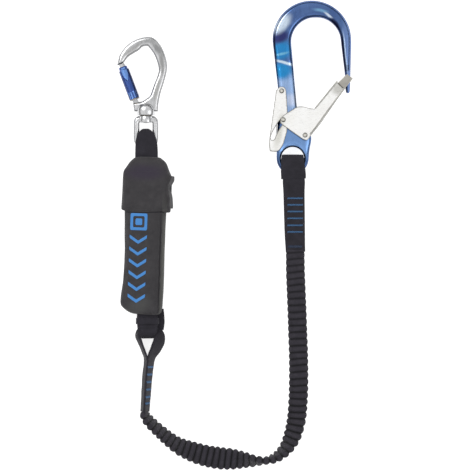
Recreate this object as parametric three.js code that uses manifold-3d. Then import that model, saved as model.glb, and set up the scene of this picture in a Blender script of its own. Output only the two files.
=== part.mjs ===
// Shock absorbing lanyard: a swivel carabiner, a tear webbing absorber in its pouch, an elastic webbing
// and a scaffold hook, laid flat. Millimetres, +Z up, origin on the floor below the middle of the
// hardware, +Y towards the connectors.
import * as THREE from "three";
import { mergeVertices } from "three/addons/utils/BufferGeometryUtils.js";
import Module from "manifold-3d";

const wasm = await Module();
wasm.setup();

// ---------------------------------------------------------------- driving dimensions
const CLEARANCE = 0.4; // between pieces that touch or run in each other
const WEBBING = 2.4; // thickness of one layer of webbing

// scaffold hook, about the centre of its eye
const HOOK_AT = [81.3, 66.6];
const HOOK_HALF = 7; // half the body's thickness
const HOOK_BEVEL = 2;
const CROWN = [26.9, 165.9]; // centre of the crown's outer arc
const CROWN_OUTER_R = 55;
const CROWN_INNER_R = 35;
const CROWN_INNER_SHIFT = [5.8, -3]; // the inner arc sits lower and towards the tip
const CROWN_FLAT_HALF = 6; // half the width of the flat that bears on the anchor
const TIP_DROP = 71.6; // from the crown's centre down to the tip's
const TIP_R = 3;
const EYE_OUTER_R = 22.5;
const EYE_HOLE_R = 16.4;
const PLATE = 1.8; // sheet thickness of the gate and the lever
const GATE_PIVOT = [17.1, 32.2];
const CAM_PIN = [-13.3, 53.6];
const LEVER_PIVOT = [-15.5, 94.1];
const RIVET_R = 2.4;
const RIVET_HEAD_R = 3.3;
const RIVET_HEAD = 1.6;
const GATE_SWING = 32; // degrees from shut to fully open
const LEVER_SHARE = 1 / 6; // the lever's turn for one degree of the gate's

// swivel carabiner, about the swivel's axis and the eye's bar
const SWIVEL_X = -124.2;
const FRAME_HALF = 5.5;
const FRAME_BEVEL = 2.4;
const BOW_FOOT = 56; // where the bow starts, above the eye's bar
const BOW_HEIGHT = 93; // from there to its top
const BOSS_R = 9.4;
const BOSS_FOOT = 39;
const STUD_R = 4;
const STUD_HEAD_R = 6;
const EYE_BAR_R = 4;
const EYE_HALF_WIDTH = 17.3;
const EYE_BAR_WIDTH = 8.1;
const HUB_TOP = 37.8;
const HUB_HEIGHT = 9.3;
const LINK_GATE_PIVOT = [-13, 54.4];
const LINK_GATE_TILT = 20.6; // degrees to the left of upright
const LINK_GATE_LENGTH = 60;
const STEM_R = 4.2;
const SLEEVE_R = 7.35;
const SLEEVE_FOOT = 8.2;
const SLEEVE_LIFT = 3;

// absorber
const LINK_AT = [-122.5, -176]; // axis of the two linked webbing loops
const LINK_Z = 10;
const STRAND_R = 6; // the bunched webbing inside the link
const POUCH_FOOT = 23.5; // above the link's axis
const POUCH_X = -129.7;
const POUCH_TILT = 1.96; // degrees, leaning right
const POUCH_LENGTH = 201; // to the cap's shoulders
const POUCH_WIDTH = 61;
const POUCH_DEPTH = 36;
const POUCH_WALL = 2;
const CAP_WALL = 1.2;
const CAP_LENGTH = 54;
const CAP_SHOULDER = 19;
const TOP_LOOP_RISE = 40; // from the shoulders to the eye's bar
const PACK_WIDTH = 40;
const PACK_RUNS = 7;

// elastic webbing: the middle of its section, from the absorber's leg to the hook's leg
const ELASTIC_THICK = 13;
const ELASTIC_ROUTE = [
  [-125.9, -288.1, 13], [-125.7, -291.5, 13], [-123.2, -296.5, 13], [-118.8, -302, 13],
  [-112.3, -308.6, 12.7], [-103.5, -316.5, 12.1], [-94.2, -324.5, 11.5],
  [-79.7, -335.3, 10], [-63.3, -342.8, 8.5], [-44.9, -349.1, 7], [-23.4, -353.3, 6.6],
  [-3.4, -354.9, 6.6], [15.8, -356, 8.5], [30.1, -356.9, 11], [45, -356.3, 12.5],
  [58.5, -351.8, 12], [70.5, -341.5, 10.5], [78.8, -328.2, 8.5], [83.6, -314.5, 7],
  [87.2, -296.8, 6.6], [89.3, -270, 6.6], [90, -240, 6.6], [89.8, -210, 6.6],
  [88.8, -180, 6.6], [87.8, -150, 6.6], [86.6, -120, 6.6], [85.5, -90, 6.6], [85.3, -61.2, 6.6],
];

// ---------------------------------------------------------------- finishes
const finish = (color, roughness, metalness) => new THREE.MeshStandardMaterial({ color, roughness, metalness });
const BLUE_ANODISED = finish(0x4a78b8, 0.3, 0.9);
const BLUE_SLEEVE = finish(0x3c549b, 0.35, 0.8);
const POLISHED = finish(0xb9bcc0, 0.25, 1);
const SHEET_STEEL = finish(0xe4e4e6, 0.35, 0.9);
const SATIN_STEEL = finish(0xa8a6a0, 0.5, 0.9);
const DARK_WEBBING = finish(0x35333a, 0.9, 0);
const POUCH_CLOTH = finish(0x3c3c3e, 0.9, 0);
const SPRING_STEEL = finish(0x8c8f94, 0.35, 1);

// ---------------------------------------------------------------- shaping helpers
const EXTENT = 400; // a length past every piece, for cutting prisms

/** A closed outline through the corners given. */
function polygon(points) {
  return new THREE.Shape(points.map(([x, y]) => new THREE.Vector2(x, y)));
}

function rectangle(x0, y0, x1, y1) {
  return polygon([[x0, y0], [x1, y0], [x1, y1], [x0, y1]]);
}

function disc(x, y, r) {
  const shape = new THREE.Shape();
  shape.absarc(x, y, r, 0, 2 * Math.PI, false);
  return shape;
}

/** A slot of constant width with round ends along a path. */
function slotAlong(path, half) {
  const along = path.map((p, i) => {
    const a = path[Math.max(i - 1, 0)];
    const b = path[Math.min(i + 1, path.length - 1)];
    return Math.atan2(b[1] - a[1], b[0] - a[0]);
  });
  const side = (turn) => path.map(([x, y], i) => {
    const angle = along[i] + turn;
    return [x + half * Math.cos(angle), y + half * Math.sin(angle)];
  });
  const cap = ([x, y], start) => [1, 2, 3, 4, 5].map((k) => {
    const angle = start + (k * Math.PI) / 6;
    return [x + half * Math.cos(angle), y + half * Math.sin(angle)];
  });
  const last = path.length - 1;
  return polygon([
    ...side(-Math.PI / 2),
    ...cap(path[last], along[last] - Math.PI / 2),
    ...side(Math.PI / 2).reverse(),
    ...cap(path[0], along[0] + Math.PI / 2),
  ]);
}

/** An outline in XY, extruded from z = low to z = high, its edges bevelled if asked. */
function plate(shape, low, high, bevel = 0, segments = 8) {
  const geometry = new THREE.ExtrudeGeometry(shape, {
    depth: high - low - 2 * bevel,
    curveSegments: segments,
    bevelEnabled: bevel > 0,
    bevelThickness: bevel,
    bevelSize: bevel,
    bevelOffset: -bevel,
    bevelSegments: 2,
  });
  return geometry.translate(0, 0, low + bevel);
}

/** An outline drawn in (Y, Z), extruded from x = low to x = high. */
function sideways(shape, low, high, segments = 8) {
  const turn = new THREE.Matrix4().makeBasis(
    new THREE.Vector3(0, 1, 0),
    new THREE.Vector3(0, 0, 1),
    new THREE.Vector3(1, 0, 0),
  );
  return plate(shape, low, high, 0, segments).applyMatrix4(turn);
}

/** An outline drawn in (Z, X), extruded from y = low to y = high. */
function upright(shape, low, high, segments = 8) {
  const turn = new THREE.Matrix4().makeBasis(
    new THREE.Vector3(0, 0, 1),
    new THREE.Vector3(1, 0, 0),
    new THREE.Vector3(0, 1, 0),
  );
  return plate(shape, low, high, 0, segments).applyMatrix4(turn);
}

/** A solid of revolution about Y; the profile holds [radius, height] pairs from foot to top. */
function turned(profile, segments = 24) {
  return new THREE.LatheGeometry(profile.map(([r, h]) => new THREE.Vector2(r, h)), segments);
}

/** A round pin along Z, with or without heads of radius headR and height head at its ends. */
function pinZ([x, y], r, low, high, headR = r, head = 0, segments = 16) {
  const shank = [[0, low], [headR, low], [headR, low + head], [r, low + head]];
  const top = [[r, high - head], [headR, high - head], [headR, high], [0, high]];
  const profile = head > 0 ? [...shank, ...top] : [[0, low], [r, low], [r, high], [0, high]];
  return turned(profile, segments).rotateX(Math.PI / 2).translate(x, y, 0);
}

/** A flat ring about Z. */
function ringZ([x, y], inner, outer, low, high, segments = 16) {
  const profile = [[inner, low], [outer, low], [outer, high], [inner, high], [inner, low]];
  return turned(profile, segments).rotateX(Math.PI / 2).translate(x, y, 0);
}

/** A wire of round section along a smooth curve through the points. */
function wire(points, r, steps, sides = 8) {
  const path = new THREE.CatmullRomCurve3(points.map((p) => new THREE.Vector3(...p)));
  return new THREE.ExtrudeGeometry(disc(0, 0, r), { steps, curveSegments: sides, extrudePath: path });
}

/** The points of a helix about Y. */
function coil(radius, foot, pitch, turns, perTurn = 10) {
  return Array.from({ length: Math.round(turns * perTurn) + 1 }, (_, i) => {
    const angle = (i / perTurn) * 2 * Math.PI;
    return [radius * Math.cos(angle), foot + (pitch * i) / perTurn, -radius * Math.sin(angle)];
  });
}

function toSolid(geometry) {
  const bare = new THREE.BufferGeometry();
  bare.setAttribute("position", geometry.getAttribute("position").clone());
  if (geometry.index) bare.setIndex(geometry.index.clone());
  const merged = mergeVertices(bare, 1e-4);
  return new wasm.Manifold(new wasm.Mesh({
    numProp: 3,
    vertProperties: merged.attributes.position.array,
    triVerts: new Uint32Array(merged.index.array),
  }));
}

function toGeometry(solid) {
  const mesh = solid.getMesh();
  const geometry = new THREE.BufferGeometry();
  geometry.setAttribute("position", new THREE.BufferAttribute(mesh.vertProperties, mesh.numProp));
  geometry.setIndex(new THREE.BufferAttribute(mesh.triVerts, 1));
  geometry.computeVertexNormals();
  return geometry;
}

const combine = (how) => (first, ...rest) =>
  toGeometry(rest.reduce((whole, next) => whole[how](toSolid(next)), toSolid(first)));
const joined = combine("add");
const cut = combine("subtract");
const common = combine("intersect");

function piece(name, geometry, material) {
  const mesh = new THREE.Mesh(geometry, material);
  mesh.name = name;
  return mesh;
}

function placed(x, y, z, ...meshes) {
  const group = new THREE.Group();
  group.position.set(x, y, z);
  group.add(...meshes);
  return group;
}

const radians = THREE.MathUtils.degToRad;

// ---------------------------------------------------------------- scaffold hook
// Stack of the hook's sheets, counted from its middle plane.
const LEVER_LOW = HOOK_HALF + CLEARANCE;
const LEVER_HIGH = LEVER_LOW + PLATE;
const GATE_LOW = LEVER_HIGH + 1.1;
const GATE_HIGH = GATE_LOW + PLATE;
const HOOK_STACK = GATE_HIGH + CLEARANCE + RIVET_HEAD;

const TIP = [CROWN[0] + CROWN_OUTER_R - 4.7, CROWN[1] - TIP_DROP];
const CROWN_INNER = [CROWN[0] + CROWN_INNER_SHIFT[0], CROWN[1] + CROWN_INNER_SHIFT[1]];

/** Outline of the forged body: crown, spine, tip and eye. */
function hookOutline() {
  const outline = new THREE.Shape();
  const [cx, cy] = CROWN;
  const [ix, iy] = CROWN_INNER;
  const [tx, ty] = TIP;
  const flatTurn = Math.asin(CROWN_FLAT_HALF / CROWN_INNER_R);
  outline.moveTo(-20.6, 64);
  outline.lineTo(-22.2, 10);
  outline.absarc(0, 0, EYE_OUTER_R, Math.PI, 2 * Math.PI, false);
  outline.quadraticCurveTo(23, 12, 25, 19);
  outline.quadraticCurveTo(29, 34, 20, 45);
  outline.quadraticCurveTo(9, 55, 5.9, 71.7);
  outline.lineTo(ix - CROWN_INNER_R, iy);
  outline.absarc(ix, iy, CROWN_INNER_R, Math.PI, Math.PI / 2 + flatTurn, true);
  outline.absarc(ix, iy, CROWN_INNER_R, Math.PI / 2 - flatTurn, 0, true);
  outline.lineTo(tx - TIP_R - 1, ty + 23);
  outline.lineTo(tx - TIP_R, ty + 2);
  outline.absarc(tx, ty, TIP_R, Math.PI, 2 * Math.PI, false);
  outline.lineTo(tx + TIP_R + 0.6, ty + 20);
  outline.lineTo(cx + CROWN_OUTER_R, cy - 10);
  outline.absarc(cx, cy, CROWN_OUTER_R, 0, Math.PI, false);
  outline.lineTo(-20.5, 98.1);
  const hole = new THREE.Path();
  hole.absarc(0, 0, EYE_HOLE_R, 0, 2 * Math.PI, false);
  outline.holes.push(hole);
  return outline;
}

function hookBody() {
  const body = plate(hookOutline(), -HOOK_HALF, HOOK_HALF, HOOK_BEVEL, 14);
  const bore = (at) => pinZ(at, RIVET_R + CLEARANCE, -EXTENT, EXTENT);
  return cut(body, bore(GATE_PIVOT), bore(LEVER_PIVOT));
}

// The gate's arm is drawn along the line from its pivot to the tip: u along it, v towards the inside.
const GATE_AIM = [TIP[0] - GATE_PIVOT[0], TIP[1] + 14.7 - GATE_PIVOT[1]];
const GATE_LENGTH = Math.hypot(...GATE_AIM);
const GATE_ANGLE = Math.atan2(GATE_AIM[1], GATE_AIM[0]);

function onArm(u, v) {
  const [c, s] = [Math.cos(GATE_ANGLE), Math.sin(GATE_ANGLE)];
  return [GATE_PIVOT[0] + u * c - v * s, GATE_PIVOT[1] + u * s + v * c];
}

const NOSE_START = GATE_LENGTH - 12;

/** Outline of the gate's cheeks: the fan over the spine and the arm out to the nose. */
function cheekOutline() {
  const outline = new THREE.Shape();
  const goTo = ([x, y]) => outline.lineTo(x, y);
  outline.moveTo(-17.7, 48.6);
  outline.lineTo(14, 26.3);
  outline.quadraticCurveTo(17, 24.2, ...onArm(-3.7, -7.1));
  goTo(onArm(5.8, -6.9));
  goTo(onArm(26.3, -7.3));
  goTo(onArm(NOSE_START - 1.5, -3.6));
  goTo(onArm(NOSE_START, 10.4));
  goTo(onArm(36.9, 12.5));
  outline.lineTo(22.8, 69.9);
  outline.quadraticCurveTo(14, 73.6, 5.9, 71.8);
  outline.lineTo(-12.1, 60.5);
  outline.quadraticCurveTo(-19.5, 54.5, -17.7, 48.6);
  return outline;
}

/** The sheet gate: two cheeks joined by a web along the arm's inner edge. */
function hookGate() {
  const whole = plate(cheekOutline(), -GATE_HIGH, GATE_HIGH);
  const web = plate(
    polygon([onArm(36.9, 12.5 - PLATE), onArm(NOSE_START + 5, 10.3 - PLATE), onArm(NOSE_START + 5, 30), onArm(36.9, 30)]),
    -EXTENT,
    EXTENT,
  );
  const inside = cut(plate(rectangle(-EXTENT, -EXTENT, EXTENT, EXTENT), -GATE_LOW, GATE_LOW), web);
  const bore = (at) => pinZ(at, RIVET_R + CLEARANCE, -EXTENT, EXTENT);
  return cut(whole, inside, bore(GATE_PIVOT), bore(CAM_PIN));
}

/** The cast nose: a fork over the hook's tip with a tongue held between the gate's cheeks. */
function hookGateNose() {
  const gap = NOSE_START + CLEARANCE;
  const head = plate(
    polygon([
      onArm(gap - 1.5, -3.7), onArm(GATE_LENGTH + 5.7, -4), onArm(GATE_LENGTH + 5.8, 5.9),
      onArm(GATE_LENGTH + 1, 7.5), onArm(gap + 0.6, 8.9), onArm(gap, 8.9),
    ]),
    -GATE_HIGH,
    GATE_HIGH,
    0.5,
  );
  const tongueHalf = GATE_LOW - CLEARANCE;
  const tongue = plate(
    polygon([onArm(gap - 12, -3), onArm(gap + 3, -2.4), onArm(gap + 3, 7), onArm(gap - 12, 7.4)]),
    -tongueHalf,
    tongueHalf,
  );
  const slotHalf = HOOK_HALF + CLEARANCE;
  const slot = plate(
    polygon([
      onArm(gap + 1, -20), onArm(GATE_LENGTH + 20, -20), onArm(GATE_LENGTH + 20, 20),
      onArm(GATE_LENGTH + 0.3, 20), onArm(GATE_LENGTH + 0.3, 5.4), onArm(gap + 1, 6.9),
    ]),
    -slotHalf,
    slotHalf,
  );
  return cut(joined(head, tongue), slot);
}

/** Where the gate's cam pin runs, seen from the lever, as both turn. */
function camPath() {
  const arm = [CAM_PIN[0] - GATE_PIVOT[0], CAM_PIN[1] - GATE_PIVOT[1]];
  const turnedBy = ([x, y], a) => [x * Math.cos(a) - y * Math.sin(a), x * Math.sin(a) + y * Math.cos(a)];
  const steps = 10;
  const spare = 1.35; // the slot runs on past the last place of the pin
  return Array.from({ length: steps + 1 }, (_, i) => {
    const swing = radians((GATE_SWING * spare * i) / steps);
    const [px, py] = turnedBy(arm, swing);
    const fromLever = [GATE_PIVOT[0] + px - LEVER_PIVOT[0], GATE_PIVOT[1] + py - LEVER_PIVOT[1]];
    const [lx, ly] = turnedBy(fromLever, -swing * LEVER_SHARE);
    return [LEVER_PIVOT[0] + lx, LEVER_PIVOT[1] + ly];
  });
}

/** The lever: two cheeks joined by a web along the outer edge, with the cam slot through both. */
function hookLever() {
  const [px, py] = LEVER_PIVOT;
  const bossR = 6.3;
  const outline = new THREE.Shape();
  outline.moveTo(px - 7.8, py + 0.7);
  outline.lineTo(-33.3, 21.7);
  outline.lineTo(-31.9, 10.2);
  outline.lineTo(-21.1, 9.5);
  outline.quadraticCurveTo(-15, 13.5, -12.1, 23);
  outline.lineTo(-7.8, 37.9);
  outline.lineTo(-7.2, 65);
  outline.lineTo(px + bossR, py);
  outline.absarc(px, py, bossR, 0, Math.PI * 0.75, false);
  const whole = plate(outline, -LEVER_HIGH, LEVER_HIGH);
  const inside = plate(
    polygon([[px - 6.0, py + 20], [px - 6.0, py + 0.7], [-31.4, 24], [-60, 24], [-60, -20], [60, -20], [60, py + 20]]),
    -LEVER_LOW,
    LEVER_LOW,
  );
  const slot = plate(slotAlong(camPath(), RIVET_R + 2 * CLEARANCE), -EXTENT, EXTENT);
  return cut(whole, inside, slot, pinZ(LEVER_PIVOT, RIVET_R + CLEARANCE, -EXTENT, EXTENT));
}

/** Short stud through one cheek of the gate into the lever's slot. */
function camStud(front) {
  const stud = turned([
    [0, LEVER_LOW], [RIVET_R, LEVER_LOW], [RIVET_R, GATE_HIGH + CLEARANCE],
    [RIVET_HEAD_R, GATE_HIGH + CLEARANCE], [RIVET_HEAD_R, HOOK_STACK], [0, HOOK_STACK],
  ], 16);
  return stud.rotateX(front ? Math.PI / 2 : -Math.PI / 2).translate(...CAM_PIN, 0);
}

/** Return spring of the gate: one turn and two legs round the rivet, beside the front cheek. */
function gateSpring() {
  const [x, y] = GATE_PIVOT;
  const wireR = 0.55;
  const coilR = 4.6;
  const low = HOOK_HALF + CLEARANCE + wireR;
  const rise = GATE_LOW - CLEARANCE - wireR - low;
  const steps = 15;
  const around = Array.from({ length: steps + 1 }, (_, i) => {
    const angle = -Math.PI + (i / steps) * 3 * Math.PI;
    return [x + coilR * Math.cos(angle), y + coilR * Math.sin(angle), low + (rise * i) / steps];
  });
  const legs = [[x - coilR, y + 9, low], ...around, [x + coilR, y + 14, low + rise]];
  return wire(legs, wireR, 44, 6);
}

/** Leaf spring on the back of the spine that holds the lever out. */
function leverLeafSpring() {
  const from = 34;
  const to = 66;
  const bow = 0.8;
  const seat = -20.7 - CLEARANCE - 0.4;
  const path = [0, 0.25, 0.5, 0.75, 1].map((t) => [
    seat - 0.55 * (1 - t) - bow * Math.sin(Math.PI * t),
    from + (to - from) * t,
  ]);
  return plate(slotAlong(path, 0.4), -4, 4);
}

function hookPieces() {
  const [x, y] = HOOK_AT;
  const rivetSpan = GATE_HIGH + CLEARANCE + RIVET_HEAD;
  const leverSpan = LEVER_HIGH + CLEARANCE + RIVET_HEAD;
  return placed(
    x, y, HOOK_STACK,
    piece("hook_body", hookBody(), BLUE_ANODISED),
    piece("hook_gate_rivet", pinZ(GATE_PIVOT, RIVET_R, -rivetSpan, rivetSpan, RIVET_HEAD_R, RIVET_HEAD), SATIN_STEEL),
    piece("hook_lever_rivet", pinZ(LEVER_PIVOT, RIVET_R, -leverSpan, leverSpan, RIVET_HEAD_R, RIVET_HEAD), SATIN_STEEL),
    piece("hook_gate", hookGate(), SHEET_STEEL),
    piece("hook_gate_nose", hookGateNose(), SATIN_STEEL),
    piece("hook_gate_spring", gateSpring(), SPRING_STEEL),
    piece(
      "hook_gate_washer",
      ringZ(GATE_PIVOT, RIVET_R + CLEARANCE, 6, CLEARANCE - GATE_LOW, -HOOK_HALF - CLEARANCE),
      SATIN_STEEL,
    ),
    piece("cam_stud_front", camStud(true), SATIN_STEEL),
    piece("cam_stud_back", camStud(false), SATIN_STEEL),
    piece("hook_lever", hookLever(), SHEET_STEEL),
    piece("lever_leaf_spring", leverLeafSpring(), SPRING_STEEL),
  );
}

// ---------------------------------------------------------------- webbing at the hook
// Heights here are counted from the hook's middle plane, as the loop goes round the eye's ring.
const LOOP_INNER = HOOK_HALF + CLEARANCE;
const LOOP_OUTER = LOOP_INNER + WEBBING - 0.2;
const SLEEVE_INNER = LOOP_OUTER + CLEARANCE;
const WEAR_SLEEVE = 1.5;
const WEAR_OUTER = SLEEVE_INNER + WEAR_SLEEVE;
const FOLD_Y = 5.9 - WEAR_OUTER; // centre of the fold in the eye
const RING_FOOT = -EYE_OUTER_R - 1.5; // the loop stays open down to here
const LEG_END = [ELASTIC_ROUTE.at(-1)[1] - HOOK_AT[1] + CLEARANCE, ELASTIC_ROUTE.at(-1)[2]];

function upperLoop() {
  const endZ = LEG_END[1] - HOOK_STACK;
  const profile = polygon([[LEG_END[0], endZ - WEBBING], [-46, -4.2], [RING_FOOT, -LOOP_OUTER]]);
  profile.absarc(FOLD_Y, 0, LOOP_OUTER, -Math.PI / 2, Math.PI / 2, false);
  profile.lineTo(RING_FOOT, LOOP_OUTER);
  profile.lineTo(-46, 1.4);
  profile.lineTo(LEG_END[0], endZ + WEBBING);
  const hollow = polygon([[-41, -1.4], [RING_FOOT, -LOOP_INNER]]);
  hollow.absarc(FOLD_Y, 0, LOOP_INNER, -Math.PI / 2, Math.PI / 2, false);
  hollow.lineTo(RING_FOOT, LOOP_INNER);
  profile.holes.push(hollow);
  const outline = polygon([[-9.9, LEG_END[0]], [18.1, LEG_END[0]], [14.6, -45], [13.9, 8], [-13.9, 8], [-13.4, -45]]);
  return common(sideways(profile, -30, 30, 10), plate(outline, -40, 40));
}

function wearSleeve() {
  const end = -29;
  const rise = 1.8; // the loop closes in by this much where the sleeve ends
  const profile = polygon([[end, 1 - WEAR_OUTER], [RING_FOOT, -WEAR_OUTER]]);
  profile.absarc(FOLD_Y, 0, WEAR_OUTER, -Math.PI / 2, Math.PI / 2, false);
  profile.lineTo(RING_FOOT, WEAR_OUTER);
  profile.lineTo(end, WEAR_OUTER - rise);
  profile.lineTo(end, SLEEVE_INNER - rise);
  profile.lineTo(RING_FOOT, SLEEVE_INNER);
  profile.absarc(FOLD_Y, 0, SLEEVE_INNER, Math.PI / 2, -Math.PI / 2, true);
  profile.lineTo(RING_FOOT, -SLEEVE_INNER);
  profile.lineTo(end, 1 - SLEEVE_INNER);
  const outline = polygon([
    [-14.8, 10], [-14.8, -5], [-16.1, -8], [-16.1, end - 1], [18.5, end - 1], [18.5, -8], [14.8, -5], [14.8, 10],
  ]);
  return common(sideways(profile, -30, 30, 10), plate(outline, -40, 40));
}

// ---------------------------------------------------------------- swivel carabiner
const BAR_AT = [SWIVEL_X, LINK_AT[1] + POUCH_FOOT + POUCH_LENGTH + TOP_LOOP_RISE];

/** Outline of the frame; heights on the bow are shares of its rise. */
function frameOutline() {
  const bow = ([x, share]) => new THREE.Vector2(x, BOW_FOOT + share * BOW_HEIGHT);
  const gateUnit = [-Math.sin(radians(LINK_GATE_TILT)), Math.cos(radians(LINK_GATE_TILT))];
  const noseAt = (side) => [
    LINK_GATE_PIVOT[0] + gateUnit[0] * (LINK_GATE_LENGTH + CLEARANCE) - side * gateUnit[1],
    LINK_GATE_PIVOT[1] + gateUnit[1] * (LINK_GATE_LENGTH + CLEARANCE) + side * gateUnit[0],
  ];
  const outline = new THREE.Shape();
  outline.moveTo(-16.5, 44.2);
  outline.lineTo(16.8, 44.2);
  outline.splineThru([
    [17.4, -0.01], [20.6, 0.16], [25.4, 0.32], [29.4, 0.5], [29, 0.63], [23.4, 0.815], [13.5, 0.96],
    [2.8, 1], [-14.1, 0.955], [-27.8, 0.855], [-37.2, 0.72],
  ].map(bow));
  outline.lineTo(...noseAt(6.4));
  outline.lineTo(...noseAt(-3.4));
  outline.splineThru([[-26.5, 0.685], [-17.9, 0.748], [-9.1, 0.802]].map(bow));
  outline.quadraticCurveTo(-6, BOW_FOOT + 0.862 * BOW_HEIGHT, -3.2, BOW_FOOT + 0.862 * BOW_HEIGHT);
  outline.lineTo(2.8, BOW_FOOT + 0.862 * BOW_HEIGHT);
  outline.splineThru([[10.9, 0.747], [16.4, 0.6], [17.8, 0.465], [10.9, 0.262], [5.9, 0.099]].map(bow));
  outline.quadraticCurveTo(2, BOW_FOOT + 7.2, -4.5, BOW_FOOT + 2.2);
  outline.lineTo(-11.1, BOW_FOOT + 0.9);
  outline.lineTo(-18, BOW_FOOT + 0.2);
  return outline;
}

const SHAFT_BORE_R = STUD_R + CLEARANCE;

function carabinerFrame() {
  const frame = plate(frameOutline(), -FRAME_HALF, FRAME_HALF, FRAME_BEVEL, 3);
  const dome = [0, 1, 2, 3, 4, 5].map((i) => {
    const a = (i / 5) * (Math.PI / 2);
    return [BOSS_R * Math.cos(a), BOSS_FOOT + 7 + BOSS_R * Math.sin(a)];
  });
  dome[5][0] = 0;
  const boss = turned([[0, BOSS_FOOT], [BOSS_R, BOSS_FOOT], ...dome], 28);
  const bore = turned([[0, 0], [SHAFT_BORE_R, 0], [SHAFT_BORE_R, BOSS_FOOT + 11.8], [0, BOSS_FOOT + 11.8]], 20);
  const [px, py] = LINK_GATE_PIVOT;
  const slotHalf = 2.5 + CLEARANCE;
  const slot = plate(rectangle(px - 20, py - 4.8, px + 4.8, py + 20), -slotHalf, slotHalf);
  const pinBore = pinZ(LINK_GATE_PIVOT, 1.6 + CLEARANCE, -EXTENT, EXTENT);
  return cut(joined(frame, boss), bore, slot, pinBore);
}

/** The eye: a flat link with the swivel's hub at its top. */
function swivelEye() {
  const w = EYE_HALF_WIDTH;
  const outline = new THREE.Shape();
  outline.moveTo(10 - w, -EYE_BAR_R);
  outline.lineTo(w - 10, -EYE_BAR_R);
  outline.quadraticCurveTo(w, -EYE_BAR_R, w, 10 - EYE_BAR_R);
  outline.lineTo(w, HUB_TOP - 9);
  outline.quadraticCurveTo(w, HUB_TOP, BOSS_R - 1, HUB_TOP);
  outline.lineTo(1 - BOSS_R, HUB_TOP);
  outline.quadraticCurveTo(-w, HUB_TOP, -w, HUB_TOP - 9);
  outline.lineTo(-w, 10 - EYE_BAR_R);
  outline.quadraticCurveTo(-w, -EYE_BAR_R, 10 - w, -EYE_BAR_R);
  const inner = w - EYE_BAR_WIDTH;
  const top = HUB_TOP - HUB_HEIGHT;
  const window = new THREE.Path();
  window.moveTo(-inner, EYE_BAR_R);
  window.lineTo(inner, EYE_BAR_R);
  window.lineTo(inner, top);
  window.lineTo(-inner, top);
  outline.holes.push(window);
  const link = plate(outline, -EYE_BAR_R, EYE_BAR_R, 1.8, 6);
  const hub = turned([[0, top], [BOSS_R, top], [BOSS_R, HUB_TOP], [0, HUB_TOP]], 28);
  const headR = STUD_HEAD_R + CLEARANCE;
  const bore = turned([
    [0, top - 6], [headR, top - 6], [headR, top + 4], [SHAFT_BORE_R, top + 4], [SHAFT_BORE_R, HUB_TOP + 9], [0, HUB_TOP + 9],
  ], 20);
  return cut(joined(link, hub), bore);
}

function swivelStud() {
  const head = HUB_TOP - HUB_HEIGHT + 0.5;
  return turned([
    [0, head], [STUD_HEAD_R, head], [STUD_HEAD_R, head + 3.1], [STUD_R, head + 3.1],
    [STUD_R, BOSS_FOOT + 11.4], [0, BOSS_FOOT + 11.4],
  ], 20);
}

/** A ring about the swivel's axis. */
function ringY(inner, outer, low, high, segments = 20) {
  return turned([[inner, low], [outer, low], [outer, high], [inner, high], [inner, low]], segments);
}

/** The gate's stem with its hinge tongue, drawn upright from its pivot. */
function carabinerGate() {
  const stem = turned([[0, 6.3], [STEM_R, 6.3], [STEM_R, LINK_GATE_LENGTH], [0, LINK_GATE_LENGTH]], 20);
  const outline = new THREE.Shape();
  outline.moveTo(3.7, 9);
  outline.lineTo(-3.7, 9);
  outline.absarc(0, 0, 3.7, Math.PI, 2 * Math.PI, false);
  const tongue = plate(outline, -2.5, 2.5);
  const seat = pinZ([0, GUIDE_PIN_AT], GUIDE_PIN_R + CLEARANCE, 1, 20);
  return cut(joined(stem, tongue), pinZ([0, 0], 1.6 + CLEARANCE, -EXTENT, EXTENT), seat);
}

const GUIDE_PIN_AT = 41;
const GUIDE_PIN_R = 1.1;
const SLEEVE_TOP = LINK_GATE_LENGTH - SLEEVE_LIFT - 1.2;
const SPRING_CHAMBER = [SLEEVE_FOOT + 4, GUIDE_PIN_AT - 8];

/** The turning sleeve: a tube with a stepped neck, a spring chamber and the guide pin's window. */
function lockSleeve() {
  const bore = STEM_R + CLEARANCE;
  const chamberR = bore + 1.3;
  const [low, high] = SPRING_CHAMBER;
  const neckR = 5.7;
  const body = turned([
    [bore, SLEEVE_FOOT], [SLEEVE_R - 0.5, SLEEVE_FOOT], [SLEEVE_R, SLEEVE_FOOT + 0.6],
    [SLEEVE_R, SLEEVE_TOP - 5], [neckR, SLEEVE_TOP - 3.6], [neckR, SLEEVE_TOP], [bore, SLEEVE_TOP],
    [bore, high], [chamberR, high], [chamberR, low], [bore, low], [bore, SLEEVE_FOOT],
  ], 32);
  const spare = GUIDE_PIN_R + CLEARANCE;
  const sector = new THREE.Shape();
  sector.absarc(0, 0, 12, -Math.PI / 2 - 0.25, 0.25, false);
  sector.lineTo(0, 0);
  const window = upright(sector, GUIDE_PIN_AT - SLEEVE_LIFT - spare, GUIDE_PIN_AT + spare);
  return cut(body, window);
}

/** Compression spring between the sleeve and the stem. */
function sleeveSpring() {
  const wireR = 0.4;
  const [low, high] = SPRING_CHAMBER;
  const turns = 4;
  const foot = low + SLEEVE_LIFT + 1.2;
  const pitch = (high - 1.2 - foot) / turns;
  return wire(coil(STEM_R + CLEARANCE + wireR + 0.05, foot, pitch, turns), wireR, 48, 5);
}

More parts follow.
